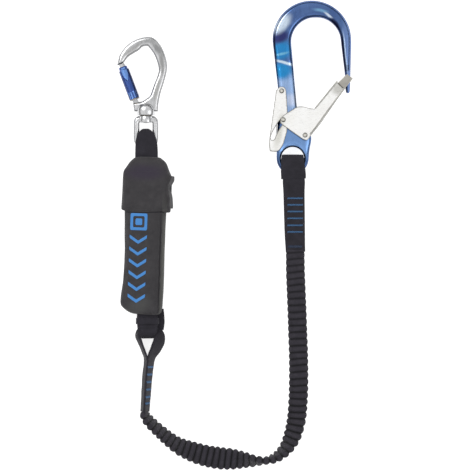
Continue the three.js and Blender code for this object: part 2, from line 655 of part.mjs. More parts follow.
function carabinerPieces() {
  const gate = placed(
    ...LINK_GATE_PIVOT, 0,
    piece("carabiner_gate", carabinerGate(), POLISHED),
    piece("carabiner_gate_pin", pinZ([0, 0], 1.6, -FRAME_HALF + 0.2, FRAME_HALF - 0.2), SATIN_STEEL),
    piece("sleeve_guide_pin", pinZ([0, GUIDE_PIN_AT], GUIDE_PIN_R, 1.4, SLEEVE_R - 0.3, GUIDE_PIN_R, 0, 10), SATIN_STEEL),
    piece("lock_sleeve", lockSleeve(), BLUE_SLEEVE),
    piece(
      "sleeve_thrust_ring",
      ringY(STEM_R + CLEARANCE, SLEEVE_R - 0.4, SLEEVE_FOOT - 1.3, SLEEVE_FOOT - CLEARANCE),
      SATIN_STEEL,
    ),
    piece("sleeve_spring", sleeveSpring(), SPRING_STEEL),
  );
  gate.rotation.z = radians(LINK_GATE_TILT);
  return placed(
    ...BAR_AT, BOSS_R,
    piece("carabiner_frame", carabinerFrame(), POLISHED),
    piece("swivel_stud", swivelStud(), SATIN_STEEL),
    piece("swivel_washer", ringY(SHAFT_BORE_R, BOSS_R - 0.6, HUB_TOP + 0.3, BOSS_FOOT - 0.3), SATIN_STEEL),
    piece("swivel_eye", swivelEye(), POLISHED),
    gate,
  );
}

// ---------------------------------------------------------------- absorber
/** Sewn loop round the eye's bar, with its tail in the pouch; heights from the bar's middle. */
function absorberTopLoop() {
  const inner = EYE_BAR_R + 1.2;
  const outer = inner + WEBBING;
  const fold = 11.9;
  const tail = -TOP_LOOP_RISE - 26;
  const tailZ = POUCH_DEPTH / 2 - BOSS_R;
  const profile = polygon([[tail, tailZ - WEBBING], [-20, 1.1], [-3, -outer]]);
  profile.absarc(fold, 0, outer, -Math.PI / 2, Math.PI / 2, false);
  profile.lineTo(-3, outer);
  profile.lineTo(-20, outer - 0.6);
  profile.lineTo(tail, tailZ + WEBBING);
  const hollow = polygon([[-16.5, 3.7], [-3, -inner]]);
  hollow.absarc(fold, 0, inner, -Math.PI / 2, Math.PI / 2, false);
  hollow.lineTo(-3, inner);
  profile.holes.push(hollow);
  const throat = EYE_HALF_WIDTH - EYE_BAR_WIDTH - 0.7;
  const outline = polygon([
    [-throat, 30], [-throat, -3], [-13.7, -11], [-13.7, tail - 5], [17.1, tail - 5], [17.1, -11], [throat, -3], [throat, 30],
  ]);
  return common(sideways(profile, -30, 30, 8), plate(outline, -60, 60));
}

const STRAND_HOLE = STRAND_R + 0.6;

/** Sewn loop at the foot of the absorber, round the lanyard's bunched webbing; heights from the link's axis. */
function absorberBottomLoop() {
  const outer = STRAND_HOLE + WEBBING;
  const tail = POUCH_FOOT + 8;
  const tailZ = POUCH_DEPTH / 2 - LINK_Z;
  const lean = radians(75);
  const profile = polygon([[19, -0.2], [tail, tailZ - WEBBING], [tail, tailZ + WEBBING], [19, 6.6]]);
  profile.absarc(0, 0, outer, lean, 2 * Math.PI - lean, false);
  const hollow = new THREE.Path();
  hollow.absarc(0, 0, STRAND_HOLE, lean, 2 * Math.PI - lean, false);
  hollow.lineTo(15.5, 1.6);
  profile.holes.push(hollow);
  const outline = polygon([
    [-7.8, -12], [7.8, -12], [7.8, 4], [12.9, 9.5], [12.9, tail + 1], [-16.2, tail + 1], [-16.2, 9.5], [-7.8, 4],
  ]);
  const rear = sideways(slotAlong([[4.5, -6.6], [18, 1], [tail - 2, tailZ - 1]], 1.1), 11, 19);
  return joined(common(sideways(profile, -30, 30, 10), plate(outline, -60, 60)), rear);
}

/** Keeper: a flat fabric ring that gathers the loop's tail below the pouch. */
function loopKeeper() {
  const ring = rectangle(-6.9, -19.2, 10.9, 23.4);
  ring.holes.push(new THREE.Path(rectangle(-5.3, -17.6, 9.3, 22.2).getPoints()));
  const lean = (POUCH_WIDTH / 2) * Math.sin(radians(POUCH_TILT)); // how far the pouch's foot dips
  return upright(ring, 10, POUCH_FOOT - lean - CLEARANCE);
}

/** Outline of the pouch's front, about the middle of its foot; one lower corner is folded in. */
function pouchOutline(half, top) {
  return polygon([[-half - 1, 14], [18 - half, 0], [half, 0], [half - 1.2, top], [1.2 - half, top]]);
}

const BODY_LOW = CAP_WALL + CLEARANCE;
const BODY_HIGH = POUCH_DEPTH - CAP_WALL - CLEARANCE;
const BODY_TOP = POUCH_LENGTH - 3;

function pouchBody() {
  const half = POUCH_WIDTH / 2;
  const body = plate(pouchOutline(half, BODY_TOP), BODY_LOW, BODY_HIGH, 4);
  const hollow = plate(
    rectangle(POUCH_WALL - half + 1.2, -10, half - 1.2 - POUCH_WALL, BODY_TOP + 10),
    BODY_LOW + POUCH_WALL,
    BODY_HIGH - POUCH_WALL,
    2.5,
  );
  return cut(body, hollow);
}

/** The cap over the pouch's head, open below and slotted on top for the webbing. */
function pouchCap() {
  const half = POUCH_WIDTH / 2 + CLEARANCE + CAP_WALL;
  const foot = POUCH_LENGTH - CAP_LENGTH;
  const outline = new THREE.Shape();
  outline.moveTo(-half, foot);
  outline.lineTo(half, foot);
  outline.lineTo(half, POUCH_LENGTH - 2);
  outline.quadraticCurveTo(half - 2, POUCH_LENGTH + 8, 24, POUCH_LENGTH + 11);
  outline.lineTo(20, POUCH_LENGTH + CAP_SHOULDER);
  outline.lineTo(-17, POUCH_LENGTH + CAP_SHOULDER);
  outline.lineTo(-23, POUCH_LENGTH + 12);
  outline.quadraticCurveTo(-half + 2, POUCH_LENGTH + 8, -half, POUCH_LENGTH - 2);
  const cap = plate(outline, 0, POUCH_DEPTH, 4, 5);
  const room = half - CAP_WALL;
  const hollow = plate(rectangle(-room, foot - 10, room, POUCH_LENGTH), CAP_WALL, POUCH_DEPTH - CAP_WALL, 3.2);
  const slot = plate(rectangle(-17, POUCH_LENGTH - 9, 19.6, POUCH_LENGTH + 30), POUCH_DEPTH / 2 - 8.1, POUCH_DEPTH / 2 + 1.5);
  return cut(cap, hollow, slot);
}

/** Tear webbing, folded to and fro in the pouch. */
function tearPack() {
  const low = BODY_LOW + POUCH_WALL + 1.2;
  const high = BODY_HIGH - POUCH_WALL - 1.2;
  const pitch = (high - low) / PACK_RUNS;
  const gap = 0.6;
  const foot = 9.5;
  const top = POUCH_LENGTH - 29;
  const turn = 4;
  const corners = [[foot, low]];
  for (let i = 1; i < PACK_RUNS; i++) {
    const z = low + i * pitch;
    const [mouth, end] = i % 2 ? [foot, top - turn] : [top, foot + turn];
    if (i % 2) corners.push([mouth, z - gap / 2], [end, z - gap / 2], [end, z + gap / 2], [mouth, z + gap / 2]);
  }
  corners.push([foot, high], [top, high]);
  for (let i = PACK_RUNS - 1; i > 0; i--) {
    const z = low + i * pitch;
    if (i % 2 === 0) corners.push([top, z + gap / 2], [foot + turn, z + gap / 2], [foot + turn, z - gap / 2], [top, z - gap / 2]);
  }
  corners.push([top, low]);
  const shape = polygon(corners.map(([y, z]) => [y, z]));
  return sideways(shape, -PACK_WIDTH / 2, PACK_WIDTH / 2);
}

/** Elastic band that keeps the folded webbing together. */
function packBand() {
  const low = BODY_LOW + POUCH_WALL + 0.3;
  const high = BODY_HIGH - POUCH_WALL - 0.3;
  const side = PACK_WIDTH / 2 + CLEARANCE;
  const band = rectangle(low, -side - 0.8, high, side + 0.8);
  const inner = rectangle(low + 0.6, -side, high - 0.6, side);
  band.holes.push(new THREE.Path(inner.getPoints()));
  return upright(band, 88, 104);
}

// The closure tab stands off the cap's right side, hinged at its front edge.
const CAP_SIDE = POUCH_WIDTH / 2 + CLEARANCE + CAP_WALL;
const TAB_TOP = [CAP_SIDE + 1.1, POUCH_DEPTH - 4.6];
const TAB_FOOT = [CAP_SIDE + 4.6, 5.5];
const TAB_SPAN = [POUCH_LENGTH - CAP_LENGTH + 2, POUCH_LENGTH - 4];

function leaningStrip(offset, from, to, half, low, high) {
  const at = (t) => [
    TAB_TOP[1] + (TAB_FOOT[1] - TAB_TOP[1]) * t,
    TAB_TOP[0] + (TAB_FOOT[0] - TAB_TOP[0]) * t + offset,
  ];
  return upright(slotAlong([at(from), at(to)], half), low, high);
}

function absorberPieces() {
  const [low, high] = TAB_SPAN;
  const pouch = placed(
    POUCH_X, LINK_AT[1] + POUCH_FOOT, 0,
    piece("pouch_body", pouchBody(), POUCH_CLOTH),
    piece("pouch_cap", pouchCap(), POUCH_CLOTH),
    piece("tear_pack", tearPack(), DARK_WEBBING),
    piece("pack_band", packBand(), DARK_WEBBING),
    piece("closure_tab", leaningStrip(0, 0, 1, 0.7, low, high), POUCH_CLOTH),
    piece("fastener_hooks", leaningStrip(-1.25, 0.57, 0.93, 0.4, low + 8, high - 8), DARK_WEBBING),
    piece("fastener_loops", plate(rectangle(CAP_SIDE + 0.3, low + 8, CAP_SIDE + 1.1, high - 8), 7, 17), DARK_WEBBING),
  );
  pouch.rotation.z = -radians(POUCH_TILT);
  return [
    pouch,
    placed(...LINK_AT, LINK_Z,
      piece("absorber_bottom_loop", absorberBottomLoop(), DARK_WEBBING),
      piece("loop_keeper", loopKeeper(), DARK_WEBBING),
      piece("lower_loop", lowerLoop(), DARK_WEBBING)),
    placed(...BAR_AT, BOSS_R, piece("absorber_top_loop", absorberTopLoop(), DARK_WEBBING)),
  ];
}

// ---------------------------------------------------------------- lanyard
/** Loop and sewn leg of the lanyard below the absorber, set on edge; heights from the link's axis. */
function lowerLoop() {
  const legEnd = ELASTIC_ROUTE[0][1] - LINK_AT[1] + CLEARANCE;
  const outline = polygon([
    [-8.1, legEnd], [2.5, legEnd], [9.3, -36.5], [15.7, -28.5], [25, -13.5], [25.2, -3], [23.5, 2.5], [18, STRAND_R],
    [-9, STRAND_R], [-14.6, 3], [-16.1, -2], [-16.1, -10], [-5, -36.5],
  ]);
  outline.holes.push(new THREE.Path(polygon([[8.4, 0], [-8.4, 0], [-8.4, -8.5], [4.4, -29], [8.4, -12]]).getPoints()));
  const side = polygon([[legEnd, -LINK_Z], [-29, -LINK_Z], [-12, -STRAND_R]]);
  side.absarc(0, 0, STRAND_R, -Math.PI / 2, Math.PI / 2, false);
  side.lineTo(-12, STRAND_R);
  side.lineTo(-29, 14);
  side.lineTo(legEnd, 16);
  const strands = common(plate(outline, -40, 40), sideways(side, -40, 40, 10));
  const bunch = new THREE.CylinderGeometry(STRAND_R, STRAND_R, 20, 20).rotateZ(Math.PI / 2);
  return joined(strands, bunch);
}

function elasticWebbing() {
  return wire(ELASTIC_ROUTE, ELASTIC_THICK / 2, 48, 10);
}

// ---------------------------------------------------------------- assembly
const lanyard = new THREE.Group();
lanyard.add(
  piece("elastic_webbing", elasticWebbing(), DARK_WEBBING),
  placed(...HOOK_AT, HOOK_STACK,
    piece("upper_loop", upperLoop(), DARK_WEBBING),
    piece("wear_sleeve", wearSleeve(), DARK_WEBBING)),
  ...absorberPieces(),
  carabinerPieces(),
  hookPieces(),
);

export default lanyard;
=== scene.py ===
"""Looks of a shock absorbing lanyard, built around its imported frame.

The lanyard lies on a pale floor: a swivel carabiner and a pouched energy absorber on the left, a ribbed
elastic band in a long bend, and a scaffold hook on the right. Shapes are worked out in millimetres and
written to the meshes in metres.
"""

from __future__ import annotations

import logging
import math
from dataclasses import dataclass
from enum import Enum
from typing import Callable, Sequence

import bmesh
import bpy
import numpy as np
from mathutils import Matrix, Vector, geometry, noise
from mathutils.bvhtree import BVHTree


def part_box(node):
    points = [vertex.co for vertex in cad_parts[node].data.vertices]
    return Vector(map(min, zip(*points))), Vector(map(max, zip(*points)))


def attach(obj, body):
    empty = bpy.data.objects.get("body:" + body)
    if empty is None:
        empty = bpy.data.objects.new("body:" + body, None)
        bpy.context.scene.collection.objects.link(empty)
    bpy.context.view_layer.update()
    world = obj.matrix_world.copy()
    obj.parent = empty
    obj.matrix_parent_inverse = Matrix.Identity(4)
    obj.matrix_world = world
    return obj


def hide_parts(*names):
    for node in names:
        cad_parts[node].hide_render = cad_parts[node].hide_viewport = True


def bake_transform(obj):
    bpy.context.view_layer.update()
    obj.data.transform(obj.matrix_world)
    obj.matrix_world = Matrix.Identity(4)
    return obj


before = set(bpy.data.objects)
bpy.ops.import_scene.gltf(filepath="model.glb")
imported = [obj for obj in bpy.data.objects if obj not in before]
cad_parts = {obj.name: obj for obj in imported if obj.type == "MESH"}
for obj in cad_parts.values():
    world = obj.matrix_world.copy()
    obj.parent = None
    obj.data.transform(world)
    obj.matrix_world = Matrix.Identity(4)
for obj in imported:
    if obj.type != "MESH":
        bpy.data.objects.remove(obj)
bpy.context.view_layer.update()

LOG = logging.getLogger("lanyard")
MM = 0.001
UP = np.array([0.0, 0.0, 1.0])
Array = np.ndarray
Row = Sequence[float]
Relief = Callable[[Array, Array], Array]
Socket = bpy.types.NodeSocket
Piece = bpy.types.Object

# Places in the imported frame, in millimetres.
HOOK_MIDDLE = 14.1
EYE_BAR = (-124.2, 88.5)
BAR_MIDDLE = 9.4
LINK = (-122.5, -176.0)
POUCH_FOOT = (-129.7, -152.5)
POUCH_LEAN = math.radians(-1.96)
GATE_HINGE = (-137.2, 142.9)
GATE_LEAN = math.radians(20.6)
GATE_PIVOT = (98.4, 98.8)
LEVER_PIVOT = (65.8, 160.7)
CAM_PIN = (68.0, 120.2)

# The middle of the elastic band's section, from the absorber's leg to the hook's leg:
# x, y, z, width, thickness, and lean, which is 0 on edge and 90 flat.
ELASTIC_ROUTE: list[Row] = [
    (-125.9, -288.1, 13, 25, 8.6, 8), (-125.7, -291.5, 13, 25, 10, 12), (-123.2, -296.5, 13, 25, 11, 16),
    (-118.8, -302, 13, 25, 11.5, 20), (-112.3, -308.6, 12.7, 25, 11.5, 22),
    (-103.5, -316.5, 12.1, 25, 11.5, 26),
    (-94.2, -324.5, 11.5, 25, 11.5, 31), (-79.7, -335.3, 10, 26, 11.5, 41),
    (-63.3, -342.8, 8.5, 27.5, 11.5, 58),
    (-44.9, -349.1, 7, 28.5, 11.5, 74), (-23.4, -353.3, 6.6, 29.5, 11.5, 90),
    (-3.4, -354.9, 6.6, 28.5, 11.5, 106),
    (15.8, -356, 8.5, 26, 11.5, 133), (30.1, -356.9, 11, 25, 12, 158), (45, -356.3, 12.5, 25, 12, 176),
    (58.5, -351.8, 12, 25, 12, 190), (70.5, -341.5, 10.5, 25, 12, 207),
    (78.8, -328.2, 8.5, 25, 11.5, 228),
    (83.6, -314.5, 7, 25, 11.5, 247), (87.2, -296.8, 6.6, 25.5, 11.5, 262),
    (89.3, -270, 6.6, 26, 11.5, 270),
    (90, -240, 6.6, 26, 11.5, 270), (89.8, -210, 6.6, 26, 11.5, 270), (88.8, -180, 6.6, 26, 11.5, 270),
    (87.8, -150, 6.6, 26, 11.5, 270), (86.6, -120, 6.6, 26, 11.5, 270), (85.5, -90, 6.6, 26, 11.0, 270),
    (85.3, -61.2, 6.6, 25.5, 9.0, 270),
]


# A wave texture repeats about this many times over, per unit of its scale.
YARN_WAVE = 0.314
# Painted shade: the near-black that the elastic band's valleys and tucks are darkened towards.
FOLD_SHADE_COLOUR = (0.003, 0.003, 0.004)


# ---------------------------------------------------------------- finishes
class Weave(Enum):
    """What a cloth's weave follows."""

    SURFACE = "UV"
    SPACE = "Object"


def tone(red: float, green: float, blue: float) -> tuple[float, float, float]:
    """A colour given in display steps from 0 to 255, as linear light."""
    return tuple(((c / 255 + 0.055) / 1.055) ** 2.4 if c > 10 else c / 3295 for c in (red, green, blue))


@dataclass(frozen=True)
class PaintedLightZone:
    """A soft-edged area of another tint on a finish, seen from above: an oval or a bar. Each one is painted
    light: a highlight, a reflection or a patch of shade.
    """

    x: float
    y: float
    half_length: float
    half_width: float
    angle: float
    colour: Row
    soft: float = 0.5
    bar: bool = False


class NodeBench:
    """A material's node tree, with short calls for adding and joining nodes."""

    def __init__(self, name: str) -> None:
        """Start a material of this name with a bare principled shader."""
        self.material = bpy.data.materials.new(name)
        self.material.use_nodes = True
        self.tree = self.material.node_tree
        self.shader = self.tree.nodes["Principled BSDF"]

    def add(self, kind: str, **settings: object) -> bpy.types.Node:
        """Add a node and set its properties.

        Args:
            kind: the node's type name.
            settings: properties of the node.

        Returns:
            The new node.
        """
        node = self.tree.nodes.new(kind)
        for name, value in settings.items():
            setattr(node, name, value)
        return node

    def put(self, node: bpy.types.Node, **values: object) -> bpy.types.Node:
        """Set unlinked inputs of a node by name, with _ for a space."""
        for name, value in values.items():
            node.inputs[name.replace("_", " ")].default_value = value
        return node

    def join(self, source: Socket, target: Socket) -> None:
        """Link one socket to another."""
        self.tree.links.new(source, target)

    def coordinates(self, follow: Weave, scale: Row = (1, 1, 1), turn: float = 0.0) -> Socket:
        """Coordinates of the piece, scaled and turned about Z.

        Args:
            follow: which coordinates are read.
            scale: factor along each axis.
            turn: angle in radians.

        Returns:
            The socket that carries them.
        """
        source = self.add("ShaderNodeTexCoord")
        mapping = self.put(self.add("ShaderNodeMapping"), Scale=scale, Rotation=(0, 0, turn))
        self.join(source.outputs[follow.value], mapping.inputs["Vector"])
        return mapping.outputs["Vector"]

    def noise(self, vector: Socket, scale: float, detail: float = 3.0) -> Socket:
        """Noise of a given scale, as a value from 0 to 1."""
        node = self.put(self.add("ShaderNodeTexNoise"), Scale=scale, Detail=detail, Roughness=0.6)
        self.join(vector, node.inputs["Vector"])
        return node.outputs["Fac"]

    def blend(self, factor: Socket, low: Socket | Row, high: Row) -> Socket:
        """A colour that goes from low, a colour or a socket, to high with the factor."""
        node = self.add("ShaderNodeMix", data_type="RGBA")
        self.join(factor, node.inputs[0])
        if isinstance(low, Socket):
            self.join(low, node.inputs[6])
        else:
            node.inputs[6].default_value = (*low, 1)
        node.inputs[7].default_value = (*high, 1)
        return node.outputs[2]

    def with_painted_light(self, colour: Socket, painted_light_zones: Sequence[PaintedLightZone], stray: float) -> Socket:
        """The colour with areas of painted light and shade laid over it: highlights, reflections and shade
        fixed to the piece.

        Args:
            colour: the colour below.
            painted_light_zones: the areas, the first one lowest.
            stray: how far a zone's edge wanders, in millimetres.

        Returns:
            The resulting colour.
        """
        if not painted_light_zones:
            return colour
        place = self.add("ShaderNodeTexCoord").outputs["Object"]
        drift = self.put(self.add("ShaderNodeTexNoise"), Scale=70.0, Detail=2.0)
        self.join(place, drift.inputs["Vector"])
        centred = self.add("ShaderNodeVectorMath", operation="MULTIPLY_ADD")
        self.join(drift.outputs["Color"], centred.inputs[0])
        centred.inputs[1].default_value = (2 * stray * MM,) * 3
        centred.inputs[2].default_value = (-stray * MM,) * 3
        moved = self.add("ShaderNodeVectorMath", operation="ADD")
        self.join(place, moved.inputs[0])
        self.join(centred.outputs[0], moved.inputs[1])
        for zone in painted_light_zones:
            local = self.put(self.add("ShaderNodeMapping", vector_type="TEXTURE"))
            local.inputs["Location"].default_value = (zone.x * MM, zone.y * MM, 0)
            local.inputs["Rotation"].default_value = (0, 0, math.radians(zone.angle))
            local.inputs["Scale"].default_value = (zone.half_length * MM, zone.half_width * MM, 1)
            self.join(moved.outputs[0], local.inputs["Vector"])
            parts = self.add("ShaderNodeSeparateXYZ")
            self.join(local.outputs[0], parts.inputs[0])
            away = [self.math("ABSOLUTE", parts.outputs[i], 0.0) for i in (0, 1)]
            if zone.bar:
                reach = self.math("MAXIMUM", *away)
            else:
                squares = [self.math("POWER", side, 2.0) for side in away]
                reach = self.math("POWER", self.math("ADD", *squares), 0.5)
            mask = self.put(self.add("ShaderNodeMapRange", interpolation_type="SMOOTHSTEP"),
                            From_Min=1.0 - zone.soft, From_Max=1.0 + zone.soft, To_Min=1.0, To_Max=0.0)
            self.join(reach, mask.inputs["Value"])
            colour = self.blend(mask.outputs["Result"], colour, zone.colour)
        return colour

    def marked(self, colour: Socket, attribute: str, other: Row) -> Socket:
        """The colour, going over to another where the mesh's attribute says so: painted shade in folds and
        painted dark reflections along edges.
        """
        share = self.add("ShaderNodeAttribute", attribute_name=attribute)
        return self.blend(share.outputs["Fac"], colour, other)

    def spread(self, value: Socket, low: float, high: float) -> Socket:
        """The value's middle range, stretched to run from low to high."""
        node = self.put(self.add("ShaderNodeMapRange"), From_Min=0.3, From_Max=0.7, To_Min=low, To_Max=high)
        self.join(value, node.inputs["Value"])
        return node.outputs["Result"]

    def math(self, operation: str, a: Socket, b: Socket | float) -> Socket:
        """One arithmetic step on a value."""
        node = self.add("ShaderNodeMath", operation=operation)
        self.join(a, node.inputs[0])
        if isinstance(b, (int, float)):
            node.inputs[1].default_value = b
        else:
            self.join(b, node.inputs[1])
        return node.outputs[0]

    def bump(self, height: Socket, strength: float, distance: float) -> None:
        """Give the shader a bump of this strength and depth in metres."""
        node = self.put(self.add("ShaderNodeBump"), Strength=strength, Distance=distance)
        self.join(height, node.inputs["Height"])
        self.join(node.outputs["Normal"], self.shader.inputs["Normal"])


@dataclass(frozen=True)
class Finish:
    """A finish of the object, whose material is built once and then shared."""

    name: str
    colour: Row

    def material(self) -> bpy.types.Material:
        """Build the material, or give the one already built."""
        full_name = "finish_" + self.name
        if full_name in bpy.data.materials:
            return bpy.data.materials[full_name]
        bench = NodeBench(full_name)
        self.paint(bench)
        return bench.material

    def paint(self, bench: NodeBench) -> None:
        """Lay the finish on a bare shader."""
        raise NotImplementedError


@dataclass(frozen=True)
class MetalFinish(Finish):
    """A polished, anodised or plated metal with fine polishing marks.

    Its rim is a dark tint painted along the edges of a forged plate, for the dark reflections on its bevels,
    and the areas laid over its colour are painted highlights, reflections and shade.
    """

    shade: Row
    roughness: float
    coat: float = 0.0
    marks: Row = (900.0, 120.0, 900.0)
    depth: float = 0.12
    painted_light_zones: tuple[PaintedLightZone, ...] = ()
    waves: float = 0.0
    rim: Row | None = None

    def paint(self, bench: NodeBench) -> None:
        """Lay the finish on a bare shader."""
        bench.put(bench.shader, Metallic=1.0, Coat_Weight=self.coat, Coat_Roughness=0.12)
        clouds = bench.noise(bench.coordinates(Weave.SPACE), 55.0, 4.0)
        tint = bench.blend(bench.spread(clouds, 0, 1), self.shade, self.colour)
        # Painted highlights, reflections and shade laid over the metal's own colour.
        tint = bench.with_painted_light(tint, self.painted_light_zones, 1.6)
        # Painted reflection: the rim attribute darkens the metal along a forged plate's edges, for the dark
        # room reflected in the bevels.
        if self.rim is not None:
            tint = bench.marked(tint, "rim", self.rim)
        bench.join(tint, bench.shader.inputs["Base Color"])
        fine = bench.noise(bench.coordinates(Weave.SPACE, self.marks, 0.5), 1.0, 2.0)
        rough = bench.spread(fine, self.roughness - 0.05, self.roughness + 0.09)
        bench.join(rough, bench.shader.inputs["Roughness"])
        relief = bench.math("ADD", fine, bench.math("MULTIPLY", clouds, self.waves))
        bench.bump(relief, self.depth, 0.0001)


@dataclass(frozen=True)
class ClothFinish(Finish):
    """A woven cloth or webbing: crossed yarns, a soft mottle and a light sheen.

    When its fold shade is on, it paints shade, near black, in the folds that the mesh's hollow attribute
    marks.
    """

    light: Row
    pitch: float
    follow: Weave = Weave.SURFACE
    stretch: float = 1.0
    turn: float = 0.0
    depth: float = 0.5
    sheen: float = 0.08
    painted_light_zones: tuple[PaintedLightZone, ...] = ()
    painted_fold_shade: bool = False

    def paint(self, bench: NodeBench) -> None:
        """Lay the finish on a bare shader."""
        bench.put(bench.shader, Roughness=0.86, Specular_IOR_Level=0.25)
        bench.put(bench.shader, Sheen_Weight=self.sheen, Sheen_Roughness=0.5)
        waves = YARN_WAVE / (self.pitch * MM)
        place = bench.coordinates(self.follow, (1, self.stretch, 1), self.turn)
        yarns = []
        for direction in ("X", "Y"):
            wave = bench.add("ShaderNodeTexWave", bands_direction=direction)
            bench.put(wave, Scale=waves, Distortion=0.6, Detail=1.0, Detail_Scale=2.0)
            bench.join(place, wave.inputs["Vector"])
            yarns.append(wave.outputs["Fac"])
        weave = bench.math("MAXIMUM", yarns[0], yarns[1])
        mottle = bench.noise(bench.coordinates(Weave.SPACE), 95.0, 5.0)
        bright = bench.math("MULTIPLY", weave, bench.spread(mottle, 0.45, 1.0))
        # Painted highlights and shade laid over the weave's colour.
        colour = bench.with_painted_light(bench.blend(bright, self.colour, self.light), self.painted_light_zones, 1.2)
        # Painted shade in the folds that the hollow attribute marks.
        if self.painted_fold_shade:
            colour = bench.marked(colour, "hollow", FOLD_SHADE_COLOUR)
        bench.join(colour, bench.shader.inputs["Base Color"])
        bench.bump(weave, self.depth, 0.0003)


@dataclass(frozen=True)
class CoatedFinish(Finish):
    """Printed ink or sewing thread: one colour with a fine grain."""

    shade: Row
    roughness: float
    grain: float

    def paint(self, bench: NodeBench) -> None:
        """Lay the finish on a bare shader."""
        bench.put(bench.shader, Roughness=self.roughness)
        grain = bench.noise(bench.coordinates(Weave.SPACE), self.grain, 3.0)
        colour = bench.blend(bench.spread(grain, 0, 1), self.shade, self.colour)
        bench.join(colour, bench.shader.inputs["Base Color"])
        bench.bump(grain, 0.35, 0.0002)


WEBBING = ClothFinish("webbing", tone(20, 19, 24), tone(50, 48, 56), 1.5, depth=0.6)
# The elastic webbing, with painted shade in its valleys and tucks.
ELASTIC = ClothFinish(
    "elastic_web", tone(27, 25, 31), tone(62, 59, 67), 1.1, stretch=0.8, depth=0.6, painted_fold_shade=True
)
POUCH = ClothFinish(
    "pouch_cloth", tone(41, 40, 43), tone(69, 67, 69), 0.7, Weave.SPACE, depth=0.35,
    # Painted light on the pouch: a highlight and a shaded line along its right side, a lighter patch on the
    # cap, a shaded line under the cap's hem and a highlight near the foot.
    painted_light_zones=(
        PaintedLightZone(-99.8, -80, 70, 2.6, 88, tone(78, 78, 75), 0.6, True),
        PaintedLightZone(-104.4, -84, 62, 0.7, 88, tone(28, 27, 30), 0.5, True),
        PaintedLightZone(-126, 47, 26, 10, 0, tone(54, 49, 60), 0.6),
        PaintedLightZone(-124, -9.0, 31, 0.8, 0, tone(30, 29, 33), 0.5, True),
        PaintedLightZone(-134, -140, 16, 10, 30, tone(70, 70, 70), 0.7),
    ),
)
WEBBING_IN_POUCH = ClothFinish("pack_webbing", tone(20, 19, 24), tone(50, 48, 56), 1.5, Weave.SPACE)
TAPE = ClothFinish("hook_and_loop", tone(22, 22, 25), tone(48, 48, 52), 0.9, Weave.SPACE, depth=1.0)
# SLATE is the hook's own blue; the lavender and pale tints are painted reflections of the bright room.
SLATE, LAVENDER_REFLECTION, PALE_REFLECTION = tone(88, 118, 170), tone(110, 138, 192), tone(156, 186, 230)
BLUE = MetalFinish(
    "blue_anodised", SLATE, tone(72, 98, 152), 0.2, 0.25, (500, 60, 500), 0.10,
    # Painted reflections and shade on the hook: pale, cyan and lavender reflections, white glints, and dark
    # bars along the edges and the crown's inner curve.
    (
        PaintedLightZone(73, 155, 30, 26, 90, PALE_REFLECTION, 0.35),
        PaintedLightZone(79.5, 148, 9, 8, 0, tone(196, 210, 238), 0.6),
        PaintedLightZone(82, 88, 30, 26, 0, tone(122, 160, 214), 0.4),
        PaintedLightZone(159, 207, 62, 6.5, 93, LAVENDER_REFLECTION, 0.4),
        PaintedLightZone(64.5, 217, 15, 12, 20, tone(46, 142, 208), 0.5),
        PaintedLightZone(66.5, 189, 13, 11, 0, tone(44, 146, 212), 0.5),
        PaintedLightZone(64, 236, 11, 7, 30, tone(52, 58, 116), 0.5),
        PaintedLightZone(66.5, 254, 15, 7.5, 48, tone(212, 228, 246), 0.5),
        PaintedLightZone(66, 213, 9, 1.5, 14, tone(120, 190, 228), 0.7),
        PaintedLightZone(69, 200.5, 14, 1.7, -17, tone(214, 232, 248), 0.7),
        PaintedLightZone(121, 273, 9, 2.2, -12, tone(124, 172, 212), 0.7),
        PaintedLightZone(56.2, 208, 30, 1.5, 93, tone(18, 24, 62), 0.5, True),
        PaintedLightZone(152.4, 211, 29, 1.7, 96.3, tone(14, 20, 50), 0.5, True),
        PaintedLightZone(141, 254.5, 11, 3.0, -52, tone(16, 24, 62), 0.5),
        PaintedLightZone(155.2, 213, 25, 0.7, 96.3, tone(184, 206, 236), 0.6, True),
        PaintedLightZone(131, 267, 6, 1.5, -34, tone(220, 234, 250), 0.6),
    ),
    3.0,
    # Painted dark reflection along the forging's edges.
    tone(24, 34, 78),
)
# Painted dark reflections along the lock sleeve's two long edges.
SLEEVE_EDGE_SHADE = (
    PaintedLightZone(-142.2, 175.2, 26, 1.1, 110.6, tone(20, 28, 72), 0.5, True),
    PaintedLightZone(-154.8, 170.5, 26, 0.9, 110.6, tone(24, 34, 84), 0.5, True),
)
SLEEVE_BLUE = MetalFinish(
    "blue_sleeve", tone(72, 98, 166), tone(56, 80, 146), 0.26, 0.2, (300, 900, 300), 0.08,
    # A small dark spot of painted shade on the sleeve, and its painted edge reflections.
    (PaintedLightZone(-150.6, 177.4, 2.4, 1.5, 110, tone(10, 16, 44), 0.3), *SLEEVE_EDGE_SHADE),
)
# The window's blue carries the same painted dark edge reflections.
WINDOW_BLUE = MetalFinish(
    "blue_window", tone(128, 166, 226), tone(106, 146, 212), 0.28, 0.2, (300, 900, 300), 0.08, SLEEVE_EDGE_SHADE
)
